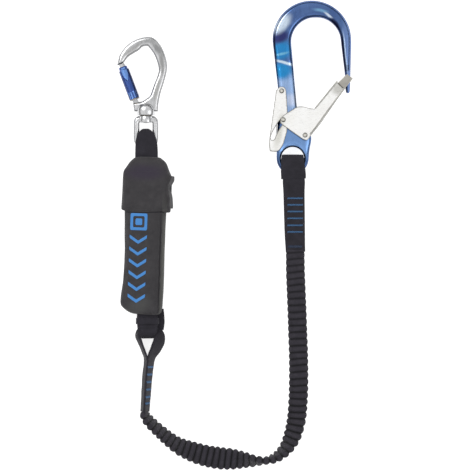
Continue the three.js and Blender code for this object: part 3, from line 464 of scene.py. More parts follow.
# Painted shade: grey for the darker reflections on the polished bow.
BOW_SHADE_GREY = tone(176, 177, 178)
POLISHED = MetalFinish(
    "polished_aluminium", tone(212, 212, 213), tone(200, 201, 203), 0.22, 0.0, (450, 150, 450), 0.045,
    # Painted darker reflections on the bow's flat band.
    (
        PaintedLightZone(-119, 232.5, 13, 3.6, 8, BOW_SHADE_GREY, 0.6),
        PaintedLightZone(-107.5, 220, 13, 4.0, -52, tone(162, 163, 164), 0.6),
        PaintedLightZone(-101.6, 198, 15, 3.4, 94, tone(170, 170, 170), 0.6),
        PaintedLightZone(-108.5, 165, 16, 3.2, 78, tone(188, 188, 187), 0.6),
        PaintedLightZone(-140, 222, 16, 2.8, 38, tone(182, 182, 182), 0.7),
    ),
    0.6,
    # Painted dark reflection along the bow's edges.
    tone(72, 72, 74),
)
SHEET = MetalFinish(
    "sheet_steel", tone(255, 255, 254), tone(249, 248, 245), 0.3, 0.0, (200, 1200, 300), 0.04,
    # Painted shade: two grey patches on the gate and the lever.
    (
        PaintedLightZone(146, 164, 10, 8, 51, tone(206, 205, 200), 0.5),
        PaintedLightZone(62, 104, 22, 5, 80, tone(222, 221, 214), 0.7),
    ),
    # Painted dark reflection along the sheet's edges.
    rim=tone(112, 108, 100),
)
# The gate's pressed ridges: the gate's own steel, painted grey for the shade on their slopes.
SHADED_RIDGE = MetalFinish(
    "shaded_ridge_steel", tone(178, 177, 172), tone(150, 149, 145), 0.36, 0.0, (200, 1200, 300), 0.08
)
SATIN = MetalFinish(
    "satin_steel", tone(176, 173, 166), tone(150, 147, 140), 0.36, 0.0, (900, 900, 900), 0.25
)
# The rivets' steel painted dark for the dark reflections round their rounded heads, with painted highlights
# on the heads' tops.
RIVET = MetalFinish(
    "rivet_steel", tone(96, 94, 88), tone(78, 76, 71), 0.36, 0.0, (900, 900, 900), 0.15,
    tuple(PaintedLightZone(*at, 2.4, 2.1, 30, tone(216, 214, 207), 0.45) for at in (GATE_PIVOT, LEVER_PIVOT, CAM_PIN)),
)
SPRING = MetalFinish("spring_steel", tone(150, 152, 156), tone(120, 122, 126), 0.3)
THREAD = CoatedFinish("blue_thread", tone(64, 108, 150), tone(44, 78, 118), 0.6, 1800.0)
DIM_THREAD = CoatedFinish("dim_thread", tone(44, 58, 84), tone(32, 40, 58), 0.7, 1800.0)
DARK_THREAD = CoatedFinish("dark_thread", (0.05, 0.05, 0.055), (0.025, 0.025, 0.03), 0.7, 1800.0)
PRINT = CoatedFinish("blue_print", tone(62, 134, 202), tone(50, 116, 184), 0.6, 1400.0)


# ---------------------------------------------------------------- curves and meshes
def spline(rows: Sequence[Row], per: int = 14) -> Array:
    """A smooth line through rows of numbers whose first columns are x, y, z.

    Args:
        rows: the points, with any further values that follow the same line.
        per: samples between two rows.

    Returns:
        The samples, with every column carried along.
    """
    p = np.asarray(rows, float)
    p = np.vstack([2 * p[0] - p[1], p, 2 * p[-1] - p[-2]])
    gaps = np.sqrt(np.maximum(np.linalg.norm(np.diff(p[:, :3], axis=0), axis=1), 1e-6))
    knots = np.concatenate([[0], np.cumsum(gaps)])
    out = []
    for i in range(1, len(p) - 2):
        t = np.linspace(knots[i], knots[i + 1], per, endpoint=False)[:, None]
        k0, k1, k2, k3 = knots[i - 1 : i + 3]
        a1 = (k1 - t) / (k1 - k0) * p[i - 1] + (t - k0) / (k1 - k0) * p[i]
        a2 = (k2 - t) / (k2 - k1) * p[i] + (t - k1) / (k2 - k1) * p[i + 1]
        a3 = (k3 - t) / (k3 - k2) * p[i + 1] + (t - k2) / (k3 - k2) * p[i + 2]
        b1 = (k2 - t) / (k2 - k0) * a1 + (t - k0) / (k2 - k0) * a2
        b2 = (k3 - t) / (k3 - k1) * a2 + (t - k1) / (k3 - k1) * a3
        out.append((k2 - t) / (k2 - k1) * b1 + (t - k1) / (k2 - k1) * b2)
    out.append(p[-2][None, :])
    return np.vstack(out)


def travelled(line: Array, dims: int = 3) -> Array:
    """How far along the line each of its points lies."""
    return np.concatenate([[0], np.cumsum(np.linalg.norm(np.diff(line[:, :dims], axis=0), axis=1))])


def even(line: Array, step: float, dims: int = 3) -> Array:
    """The line sampled again at an even step, every column carried along."""
    along = travelled(line, dims)
    count = max(3, int(round(along[-1] / step)) + 1)
    at = np.linspace(0, along[-1], count)
    return np.stack([np.interp(at, along, line[:, c]) for c in range(line.shape[1])], axis=1)


def unit(v: Array) -> Array:
    """Vectors scaled to a length of one."""
    return v / np.maximum(np.linalg.norm(v, axis=-1, keepdims=True), 1e-9)


def added(name: str, data: bpy.types.ID) -> Piece:
    """A new object with this data, linked to the scene."""
    obj = bpy.data.objects.new(name, data)
    bpy.context.scene.collection.objects.link(obj)
    return obj


def note(obj: Piece, attribute: str, values: Array) -> None:
    """Write one number per vertex to the object's mesh, for its material to read."""
    layer = obj.data.attributes.new(attribute, "FLOAT", "POINT")
    layer.data.foreach_set("value", values.astype(np.float32).ravel())


def mesh_object(name: str, points: Array, faces: list, sharp: float = 35.0) -> Piece:
    """A mesh object from points in millimetres, smooth but for edges over the angle given.

    Args:
        name: the piece's name.
        points: vertices, in millimetres.
        faces: vertex numbers of each face.
        sharp: edges that turn by more than this many degrees stay sharp.

    Returns:
        The object, linked to the scene.
    """
    mesh = bpy.data.meshes.new(name)
    mesh.from_pydata((np.asarray(points, float) * MM).tolist(), [], faces)
    work = bmesh.new()
    work.from_mesh(mesh)
    bmesh.ops.recalc_face_normals(work, faces=work.faces)
    if work.calc_volume(signed=True) < 0:
        bmesh.ops.reverse_faces(work, faces=work.faces)
    work.to_mesh(mesh)
    work.free()
    mesh.shade_smooth()
    mesh.set_sharp_from_angle(angle=math.radians(sharp))
    return added(name, mesh)


def skin(name: str, rings: Array, sharp: float = 50.0, hollow: Array | None = None) -> Piece:
    """A closed skin over a row of rings, with a UV map in metres along and around it.

    Args:
        name: the piece's name.
        rings: ring by ring, point by point, in millimetres.
        sharp: edges that turn by more than this many degrees stay sharp.
        hollow: how deep in a fold each point is, from 0 to 1, where that is known; the finish paints shade by
            it.

    Returns:
        The object.
    """
    n, m = rings.shape[:2]
    faces = [
        (i * m + k, i * m + (k + 1) % m, (i + 1) * m + (k + 1) % m, (i + 1) * m + k)
        for i in range(n - 1)
        for k in range(m)
    ]
    faces += [tuple(range(m))[::-1], tuple((n - 1) * m + k for k in range(m))]
    obj = mesh_object(name, rings.reshape(-1, 3), faces, sharp)
    along = travelled(rings.mean(1)) * MM
    widest = rings[int(np.argmax(np.ptp(rings, axis=1).sum(1)))]
    steps = np.linalg.norm(np.roll(widest, -1, axis=0) - widest, axis=1)
    around = np.concatenate([[0], np.cumsum(steps)]) * MM
    uv = obj.data.uv_layers.new(name="UVMap")
    coordinates = np.zeros((len(obj.data.loops), 2), np.float32)
    for polygon in obj.data.polygons:
        ids = list(polygon.vertices)
        ks = [v % m for v in ids]
        wraps = len(ids) == 4 and max(ks) == m - 1 and min(ks) == 0
        for loop, v, k in zip(polygon.loop_indices, ids, ks):
            coordinates[loop] = (around[m if wraps and k == 0 else k], along[v // m])
    uv.data.foreach_set("uv", coordinates.ravel())
    if hollow is not None:
        note(obj, "hollow", hollow)
    return obj


def oval(count: int, square_w: float = 0.35, square_t: float = 0.55) -> tuple[Array, Array]:
    """A flattened ring of unit half width and half thickness, as its two coordinates."""
    a = np.linspace(0, 2 * math.pi, count, endpoint=False) + math.pi / count
    c, s = np.cos(a), np.sin(a)
    return np.sign(c) * np.abs(c) ** square_w, np.sign(s) * np.abs(s) ** square_t


@dataclass
class Strap:
    """A band of webbing swept along a route.

    Each row of the route is x, y, z, width, thickness and lean; with a lean of 0 the band stands on
    edge and with 90 it lies flat, unless across fixes the direction of its width.
    """

    route: Sequence[Row]
    across: Row | None = None
    step: float = 1.6
    count: int = 28

    def rings(self) -> tuple[Array, Array, Array, Array]:
        """Sections along the band, with its middle line, width direction and normal."""
        line = even(spline(self.route), self.step)
        middle = line[:, :3]
        tangent = unit(np.gradient(middle, axis=0))
        if self.across is not None:
            wide = np.tile(unit(np.asarray(self.across, float)), (len(line), 1))
            wide = unit(wide - tangent * (wide * tangent).sum(1, keepdims=True))
        else:
            side = unit(np.cross(tangent, UP))
            lift = np.cross(side, tangent)
            lean = np.radians(line[:, 5])[:, None]
            wide = side * np.sin(lean) + lift * np.cos(lean)
        normal = np.cross(tangent, wide)
        cx, cy = oval(self.count)
        rings = (
            middle[:, None, :]
            + wide[:, None, :] * (line[:, 3:4] / 2 * cx)[:, :, None]
            + normal[:, None, :] * (line[:, 4:5] / 2 * cy)[:, :, None]
        )
        return rings, line, wide, normal

    def build(self, name: str, wander: float = 0.25) -> Piece:
        """Make the band, with edges that wander a little as woven cloth does."""
        rings, _, _, normal = self.rings()
        for i, ring in enumerate(rings):
            for k in range(len(ring)):
                at = Vector(ring[k] * 0.11)
                ring[k] += normal[i] * wander * noise.noise(at)
        return skin(name, rings)


def segment_distance(points: Array, loops: list[Array]) -> Array:
    """Distance of each point to the nearest side of the closed loops."""
    best = np.full(len(points), 1e9)
    for loop in loops:
        a, b = loop, np.roll(loop, -1, axis=0)
        d = b - a
        length = np.maximum((d**2).sum(1), 1e-12)
        for start in range(0, len(points), 800):
            p = points[start : start + 800, None, :]
            t = np.clip(((p - a) * d).sum(2) / length, 0, 1)
            gap = np.linalg.norm(p - (a + t[..., None] * d), axis=2).min(1)
            best[start : start + 800] = np.minimum(best[start : start + 800], gap)
    return best


def enclosed(points: Array, loops: list[Array]) -> Array:
    """Whether each point is inside the outer loop and outside the holes."""
    inside = np.zeros(len(points), bool)
    x, y = points[:, :1], points[:, 1:2]
    for loop in loops:
        a, b = loop, np.roll(loop, -1, axis=0)
        crosses = (a[:, 1] > y) != (b[:, 1] > y)
        rise = np.where(np.abs(b[:, 1] - a[:, 1]) < 1e-12, 1e-12, b[:, 1] - a[:, 1])
        at = (b[:, 0] - a[:, 0]) * (y - a[:, 1]) / rise + a[:, 0]
        inside ^= (crosses & (x < at)).sum(1) % 2 == 1
    return inside


def cut_loops(node: str, height: float, least: float = 60.0) -> list[Array]:
    """Outlines of a CAD node in a level plane, the longest first.

    Args:
        node: the node's name.
        height: the plane's height, in millimetres.
        least: loops shorter than this are left out.

    Returns:
        Closed loops of points, in millimetres.
    """
    work = bmesh.new()
    work.from_mesh(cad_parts[node].data)
    bmesh.ops.remove_doubles(work, verts=work.verts, dist=1e-6)
    everything = work.verts[:] + work.edges[:] + work.faces[:]
    level = {"plane_co": (0, 0, height * MM), "plane_no": (0, 0, 1)}
    bmesh.ops.bisect_plane(work, geom=everything, clear_inner=True, clear_outer=True, **level)
    bmesh.ops.remove_doubles(work, verts=work.verts, dist=1e-6)
    left, loops = dict.fromkeys(work.edges), []
    while left:
        edge = next(iter(left))
        del left[edge]
        first, at = edge.verts
        chain = [first, at]
        while at != first:
            onward = [e for e in at.link_edges if e in left]
            if not onward:
                break
            del left[onward[0]]
            at = onward[0].other_vert(at)
            chain.append(at)
        loop = np.array([[v.co.x, v.co.y] for v in chain[:-1]]) / MM
        if len(loop) > 2 and np.linalg.norm(np.roll(loop, -1, axis=0) - loop, axis=1).sum() >= least:
            loops.append(loop)
    work.free()
    return sorted(loops, key=lambda l: -np.ptp(l, axis=0).sum())


def refine(loop: Array, step: float, corner: float = 38.0, passes: int = 10) -> Array:
    """A closed loop sampled evenly and smoothed, its true corners kept."""
    line = even(np.vstack([loop, loop[:1]]), step, 2)[:-1]
    reach = max(1, int(round(1.6 / step)))
    before, after = line - np.roll(line, reach, axis=0), np.roll(line, -reach, axis=0) - line
    turn = np.abs(np.arctan2(
        before[:, 0] * after[:, 1] - before[:, 1] * after[:, 0], (before * after).sum(1)
    ))
    free = (turn < math.radians(corner)).astype(float)[:, None]
    for _ in range(passes):
        line = line + free * 0.5 * ((np.roll(line, 1, axis=0) + np.roll(line, -1, axis=0)) / 2 - line)
    return line


@dataclass
class ForgedPlate:
    """A flat piece with shaped edges: its height follows the distance from its outline."""

    loops: list[Array]
    middle: float
    section: list[tuple[float, float]]
    step: float = 1.0
    relief: Relief | None = None
    smooth: int = 10
    # Width of the band along the outline where finishes paint a dark edge reflection.
    rim: float = 0.8

    def build(self, name: str, sharp: float = 28.0) -> Piece:
        """Make the piece.

        Args:
            name: the piece's name.
            sharp: edges that turn by more than this many degrees stay sharp.

        Returns:
            The object.
        """
        border = [refine(loop, self.step, passes=self.smooth) for loop in self.loops]
        points, edges = self.contours(border)
        points += self.filling(border).tolist()
        verts, _, faces, *_ = geometry.delaunay_2d_cdt([Vector(p) for p in points], edges, [], 0, 1e-4)
        xy = np.array([tuple(v) for v in verts])
        centres = np.array([xy[list(f)].mean(0) for f in faces])
        faces = [f for f, keep in zip(faces, enclosed(centres, border)) if keep]
        depth = segment_distance(xy, border)
        half = np.interp(depth, [s[0] for s in self.section], [s[1] for s in self.section])
        top = half + (self.relief(xy, depth) if self.relief else 0)
        solid = np.vstack([np.c_[xy, self.middle + top], np.c_[xy, self.middle - half]])
        shell = self.closed(faces, len(xy))
        used = sorted({v for f in shell for v in f})
        renumber = {v: i for i, v in enumerate(used)}
        obj = mesh_object(name, solid[used], [tuple(renumber[v] for v in f) for f in shell], sharp)
        # The rim attribute: where finishes paint the dark reflection along the outline.
        near = np.clip(1.15 - depth / self.rim, 0, 1)
        note(obj, "rim", np.concatenate([near, near])[used])
        return obj

    def contours(self, border: list[Array]) -> tuple[list, list]:
        """The outline and its inset rings, as points and the edges between them."""
        points, edges = [], []
        for loop in border:
            first = len(points)
            points += loop.tolist()
            edges += [(first + i, first + (i + 1) % len(loop)) for i in range(len(loop))]
        for inset in self.insets():
            for loop in border:
                tangent = unit(np.roll(loop, -1, axis=0) - np.roll(loop, 1, axis=0))
                inward = np.stack([-tangent[:, 1], tangent[:, 0]], axis=1)
                if not enclosed(loop + inward * 0.05, border).mean() > 0.5:
                    inward = -inward
                ring = loop + inward * inset
                keep = enclosed(ring, border) & (segment_distance(ring, border) > 0.96 * inset)
                ids = {}
                for i in np.flatnonzero(keep):
                    ids[i] = len(points)
                    points.append(ring[i].tolist())
                edges += [(ids[i], ids[(i + 1) % len(loop)]) for i in ids if (i + 1) % len(loop) in ids]
        return points, edges

    def filling(self, border: list[Array]) -> Array:
        """Staggered points over the face, inside the innermost ring."""
        outer, pitch = border[0], self.step * 1.7
        xs = np.arange(outer[:, 0].min(), outer[:, 0].max(), pitch)
        ys = np.arange(outer[:, 1].min(), outer[:, 1].max(), pitch * 0.87)
        grid = np.array([(x + (j % 2) * pitch / 2, y) for j, y in enumerate(ys) for x in xs])
        grid = grid[enclosed(grid, border)]
        return grid[segment_distance(grid, border) > max(self.insets(), default=0.0) + 0.6 * self.step]

    def insets(self) -> list[float]:
        """How far inside the outline the section changes."""
        return [inset for inset, _ in self.section if inset > 0]

    @staticmethod
    def closed(faces: list, count: int) -> list[tuple[int, ...]]:
        """Faces of the upper side, the under side and the rim, for this many points on a side."""
        sides = dict.fromkeys((a, b) for f in faces for a, b in zip(f, list(f[1:]) + [f[0]]))
        shell = [tuple(f) for f in faces] + [tuple(v + count for v in reversed(f)) for f in faces]
        return shell + [(b, a, a + count, b + count) for a, b in sides if (b, a) not in sides]


@dataclass
class Turning:
    """A lathe-turned piece about an axis."""

    profile: Sequence[tuple[float, float]]
    foot: Row
    axis: Row
    segments: int = 64

    def build(self, name: str, sharp: float = 40.0, shape: Relief | None = None) -> Piece:
        """Make the piece.

        Args:
            name: the piece's name.
            sharp: edges that turn by more than this many degrees stay sharp.
            shape: change of radius by angle and height, if any.

        Returns:
            The object.
        """
        axis = unit(np.asarray(self.axis, float))
        helper = UP if abs(axis[2]) < 0.9 else np.array([1.0, 0.0, 0.0])
        e1 = unit(np.cross(helper, axis))
        e2 = np.cross(axis, e1)
        angles = np.linspace(0, 2 * math.pi, self.segments, endpoint=False)
        profile = np.asarray(self.profile, float)
        radius = np.repeat(profile[:, :1], self.segments, axis=1)
        heights = np.repeat(profile[:, 1:2], self.segments, axis=1)
        if shape is not None:
            change = shape(np.tile(angles, (len(profile), 1)), heights)
            radius = np.where(radius > 0.05, radius + change, radius)
        turn = np.cos(angles)[:, None] * e1 + np.sin(angles)[:, None] * e2
        rings = np.asarray(self.foot, float) + radius[..., None] * turn[None] + heights[..., None] * axis
        return skin(name, rings, sharp)


def rounded(points: Sequence[tuple[float, float]], step: float) -> list[tuple[float, float]]:
    """A profile with its long stretches split, so that detail can be raised on it."""
    line = [tuple(points[0])]
    for (r0, h0), (r1, h1) in zip(points, points[1:]):
        count = max(1, int(math.hypot(r1 - r0, h1 - h0) / step))
        line += [(r0 + (r1 - r0) * i / count, h0 + (h1 - h0) * i / count) for i in range(1, count + 1)]
    return line


# ---------------------------------------------------------------- stitches
@dataclass
class StitchRows:
    """Rows of sewing thread, laid stitch by stitch along guide lines by geometry nodes."""

    rows: list[Array]
    pitch: float
    length: float
    thickness: float
    slant: float = 0.0

    def tree(self, finish: bpy.types.Material) -> tuple[bpy.types.NodeTree, dict[str, str]]:
        """Build the node tree.

        Args:
            finish: the thread's material.

        Returns:
            The tree and the identifiers of its named inputs.
        """
        tree = bpy.data.node_groups.new("stitch_rows", "GeometryNodeTree")
        face = tree.interface
        face.new_socket("Geometry", in_out="INPUT", socket_type="NodeSocketGeometry")
        named = {
            label: face.new_socket(label, in_out="INPUT", socket_type="NodeSocketFloat").identifier
            for label in ("Pitch", "Length", "Thickness", "Slant")
        }
        face.new_socket("Geometry", in_out="OUTPUT", socket_type="NodeSocketGeometry")
        kinds = {
            "source": "NodeGroupInput", "sink": "NodeGroupOutput", "curve": "GeometryNodeMeshToCurve",
            "steps": "GeometryNodeResampleCurve", "place": "GeometryNodeInstanceOnPoints",
            "stitch": "GeometryNodeMeshUVSphere", "tangent": "GeometryNodeInputTangent",
            "align": "FunctionNodeAlignRotationToVector", "turn": "FunctionNodeRotateRotation",
            "slant": "ShaderNodeCombineXYZ", "size": "ShaderNodeCombineXYZ",
            "realize": "GeometryNodeRealizeInstances", "dress": "GeometryNodeSetMaterial",
        }
        node = {name: tree.nodes.new(kind) for name, kind in kinds.items()}
        node["steps"].mode = "LENGTH"
        node["align"].axis = "X"
        node["turn"].rotation_space = "LOCAL"
        node["dress"].inputs["Material"].default_value = finish
        for label, value in (("Segments", 8), ("Rings", 5), ("Radius", 0.5)):
            node["stitch"].inputs[label].default_value = value
        joints = [
            ("source", "Geometry", "curve", 0), ("curve", 0, "steps", "Curve"),
            ("source", "Pitch", "steps", "Length"),
            ("steps", 0, "place", "Points"), ("stitch", "Mesh", "place", "Instance"),
            ("tangent", 0, "align", "Vector"),
            ("align", 0, "turn", "Rotation"), ("source", "Slant", "slant", "Z"),
            ("slant", 0, "turn", "Rotate By"),
            ("turn", 0, "place", "Rotation"), ("source", "Length", "size", "X"),
            ("source", "Thickness", "size", "Y"),
            ("source", "Thickness", "size", "Z"), ("size", 0, "place", "Scale"),
            ("place", 0, "realize", 0),
            ("realize", 0, "dress", 0), ("dress", 0, "sink", 0),
        ]
        for giver, out, taker, into in joints:
            tree.links.new(node[giver].outputs[out], node[taker].inputs[into])
        return tree, named

    def build(self, name: str, finish: bpy.types.Material) -> Piece:
        """Lay the stitches and give them as one plain mesh."""
        points, edges = [], []
        for row in self.rows:
            first = len(points)
            points += (np.asarray(row) * MM).tolist()
            edges += [(first + i, first + i + 1) for i in range(len(row) - 1)]
        guide = bpy.data.meshes.new(name + "_guide")
        guide.from_pydata(points, edges, [])
        obj = added(name + "_guide", guide)
        tree, named = self.tree(finish)
        layer = obj.modifiers.new("stitches", "NODES")
        layer.node_group = tree
        values = {"Pitch": self.pitch * MM, "Length": self.length * MM, "Thickness": self.thickness * MM}
        for label, value in {**values, "Slant": math.radians(self.slant)}.items():
            layer[named[label]] = float(value)
        bpy.context.view_layer.update()
        shown = obj.evaluated_get(bpy.context.evaluated_depsgraph_get())
        mesh = bpy.data.meshes.new_from_object(shown)
        bpy.data.objects.remove(obj)
        mesh.shade_smooth()
        return added(name, mesh)


class Surface:
    """The upper side of finished pieces, for laying thread and print on."""

    def __init__(self, *pieces: Piece) -> None:
        """Take the pieces' meshes as they are now."""
        self.trees = [BVHTree.FromObject(p, bpy.context.evaluated_depsgraph_get()) for p in pieces]

    def height(self, x: float, y: float, default: float = 0.0) -> float:
        """Height of the highest surface over a place, in millimetres."""
        best = None
        for tree in self.trees:
            hit = tree.ray_cast(Vector((x * MM, y * MM, 1.0)), Vector(-UP))[0]
            if hit is not None and (best is None or hit.z > best):
                best = hit.z
        return default if best is None else best / MM

    def lay(self, line: Array, lift: float) -> Array:
        """A flat line brought down onto the surface, lifted by a little."""
        return np.array([(x, y, self.height(x, y) + lift) for x, y in line[:, :2]])


def dress(piece: Piece, finish: Finish | None, body: str, slot: str, *nodes: str) -> Piece:
    """Give a piece its material and its body, and hide the CAD nodes that it stands for.

    Args:
        piece: the finished piece.
        finish: the finish whose material it takes, or None where it has one.
        body: the CAD body that it rides on.
        slot: the record's material slot; not used.
        nodes: CAD nodes that it replaces.

    Returns:
        The same piece.
    """
    if finish is not None:
        piece.data.materials.clear()
        piece.data.materials.append(finish.material())
    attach(piece, body)
    if nodes:
        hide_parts(*nodes)
    LOG.info("%s rides on %s", piece.name, body)
    return piece


def pouch_place(x: float, y: float) -> tuple[float, float]:
    """A place given from the pouch's foot, along its leaning axes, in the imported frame."""
    c, s = math.cos(POUCH_LEAN), math.sin(POUCH_LEAN)
    return POUCH_FOOT[0] + c * x - s * y, POUCH_FOOT[1] + s * x + c * y


# ---------------------------------------------------------------- studio
@dataclass
class Studio:
    """Camera, pale floor and soft lights."""

    centre: tuple[float, float] = (0.0007, -0.0405)
    width: float = 0.658
    height: float = 3.0
    middle: float = 0.014
    film: float = 36.0
    floor_reach: float = 4.0
    floor_steps: int = 24

    def camera(self) -> None:
        """Set the camera straight above, with the connectors at the top."""
        data = bpy.data.cameras.new("camera")
        data.sensor_width = self.film
        data.lens = self.film * (self.height - self.middle) / self.width
        data.clip_end = 20.0
        obj = added("camera", data)
        obj.location = (*self.centre, self.height)
        bpy.context.scene.camera = obj

    def floor(self) -> None:
        """Lay the pale floor."""
        n = self.floor_steps
        ticks = np.linspace(-self.floor_reach, self.floor_reach, n)
        points = [(x, y, -0.15 * MM) for y in ticks for x in ticks]
        corners = [j * n + i for j in range(n - 1) for i in range(n - 1)]
        mesh = bpy.data.meshes.new("floor")
        mesh.from_pydata(points, [], [(c, c + 1, c + n + 1, c + n) for c in corners])
        obj = added("floor", mesh)
        bench = NodeBench("pale_floor")
        bench.put(bench.shader, Roughness=0.9, Base_Color=(0.62, 0.62, 0.62, 1), Specular_IOR_Level=0.0)
        bench.put(bench.shader, Emission_Color=(1, 1, 1, 1), Emission_Strength=0.78)
        mesh.materials.append(bench.material)

    def light(self, name: str, place: Row, size: float, power: float) -> None:
        """Add one soft box that looks at the frame's origin."""
        data = bpy.data.lights.new(name, "AREA")
        data.size = size
        data.energy = power
        obj = added(name, data)
        obj.location = place
        obj.rotation_euler = (-Vector(place)).to_track_quat("-Z", "Y").to_euler()

    def surroundings(self) -> None:
        """A bright room with soft darker patches, so that polished metal has something to show."""
        world = bpy.data.worlds.new("room")
        bpy.context.scene.world = world
        world.use_nodes = True
        nodes, links = world.node_tree.nodes, world.node_tree.links
        source = nodes.new("ShaderNodeTexCoord")
        parts = nodes.new("ShaderNodeSeparateXYZ")
        links.new(source.outputs["Generated"], parts.inputs[0])
        height = nodes.new("ShaderNodeValToRGB")
        self.stops(height, [(0.0, 0.02), (0.14, 0.05), (0.34, 0.5), (0.58, 1.05), (0.85, 1.04), (1.0, 1.03)])
        links.new(parts.outputs["Z"], height.inputs["Fac"])
        patches = nodes.new("ShaderNodeTexNoise")
        patches.inputs["Scale"].default_value = 2.6
        patches.inputs["Detail"].default_value = 1.0
        patches.inputs["Distortion"].default_value = 0.6
        links.new(source.outputs["Generated"], patches.inputs["Vector"])
        shade = nodes.new("ShaderNodeValToRGB")
        self.stops(shade, [(0.38, 0.66), (0.52, 1.0), (0.7, 1.12)])
        links.new(patches.outputs["Fac"], shade.inputs["Fac"])
        joined = nodes.new("ShaderNodeVectorMath")
        joined.operation = "MULTIPLY"
        links.new(height.outputs["Color"], joined.inputs[0])
        links.new(shade.outputs["Color"], joined.inputs[1])
        links.new(joined.outputs[0], nodes["Background"].inputs["Color"])

    @staticmethod
    def stops(ramp: bpy.types.Node, values: Sequence[tuple[float, float]]) -> None:
        """Set a ramp's grey stops."""
        elements = ramp.color_ramp.elements
        while len(elements) < len(values):
            elements.new(0.5)
        for element, (position, grey) in zip(elements, values):
            element.position = position
            element.color = (grey, grey, grey, 1)

    def build(self) -> None:
        """Set everything up."""
        self.camera()
        self.floor()
        self.surroundings()
        self.light("key", (-1.2, 1.3, 2.1), 1.3, 24)
        self.light("fill", (1.7, -0.5, 1.8), 1.6, 9)
        bpy.context.scene.view_settings.view_transform = "Standard"


# ---------------------------------------------------------------- elastic lanyard
@dataclass
class ElasticBand:
    """The gathered elastic band: broad ribs with narrow valleys, turning over twice on its way.

    The ribs' pitch, the valleys' depth and the edges' ripple are given as distances along the band, in
    millimetres, and the values there.
    """

    ribs: tuple[Row, Row] = ((0, 170, 250, 700), (8.5, 8.8, 9.35, 9.35))
    valley: tuple[Row, Row] = ((0, 250, 330, 508), (0.5, 0.5, 0.42, 0.3))
    edge: tuple[Row, Row] = ((0, 250, 330, 508), (0.175, 0.175, 0.12, 0.06))
    count: int = 44
    step: float = 0.6
    plain_end: float = 4.0
    tuck_depth: float = 0.12
    tuck_place: float = 0.62

    def build(self) -> None:
        rings, line, wide, normal = Strap(ELASTIC_ROUTE, step=self.step, count=self.count).rings()
        along = travelled(line)
        turns = np.concatenate([[0], np.cumsum(np.diff(along) / np.interp(along[1:], *self.ribs))])
        cx, cy = oval(self.count, 0.42, 0.62)
        hollow = np.zeros(rings.shape[:2])
        for i in range(len(rings)):
            fade = min(1.0, along[i] / self.plain_end, (along[-1] - along[i]) / self.plain_end)
            valley, edge = np.interp(along[i], *self.valley), np.interp(along[i], *self.edge)
            half_w, half_t = line[i, 3] / 2, line[i, 4] / 2
            for k in range(self.count):
                crest = self.crest(turns[i], along[i], cx[k], cy[k])
                pucker = noise.noise(Vector((along[i] * 0.28, cx[k] * 2.6, cy[k] * 2.0)))
                tuck = self.tuck_depth * math.exp(-((cx[k] - self.tuck_place) / 0.09) ** 2) * crest
                thick = 1 - fade * (valley * (1 - crest) + tuck) + 0.035 * pucker
                broad = 1 + fade * edge * (crest - 0.55) + 0.012 * pucker
                folded = min(1.0, max(0.0, 1.0 - crest * 1.25) * 1.3 + 1.6 * tuck)
                # How far into a valley or tuck the point lies; the elastic's finish paints shade there by it.
                hollow[i, k] = fade * (0.4 + 1.2 * valley) * folded
                side, lift = half_w * broad * cx[k], half_t * thick * cy[k]
                rings[i, k] = line[i, :3] + wide[i] * side + normal[i] * lift
        rings[..., 2] = np.maximum(rings[..., 2], 0.05)
        band = skin("elastic_band", rings, 60, hollow=hollow)
        dress(band, ELASTIC, "lanyard", "elastic_web", "elastic_webbing")

    @staticmethod
    def crest(turns: float, along: float, across: float, through: float) -> float:
        """How near a place is to a rib's crest, from 0 in a valley to 1, with ribs that wander.

        Args:
            turns: ribs passed so far.
            along: distance along the band.
            across: place across its width, from -1 to 1.
            through: place through its thickness, from -1 to 1.

        Returns:
            The share of the rib's full height.
        """
        wobble = noise.noise(Vector((along * 0.04, across * 0.6, through * 0.4))) * 1.5
        phase = turns + (0.5 * across + wobble) / 9.3
        return abs(math.sin(math.pi * phase)) ** 0.8


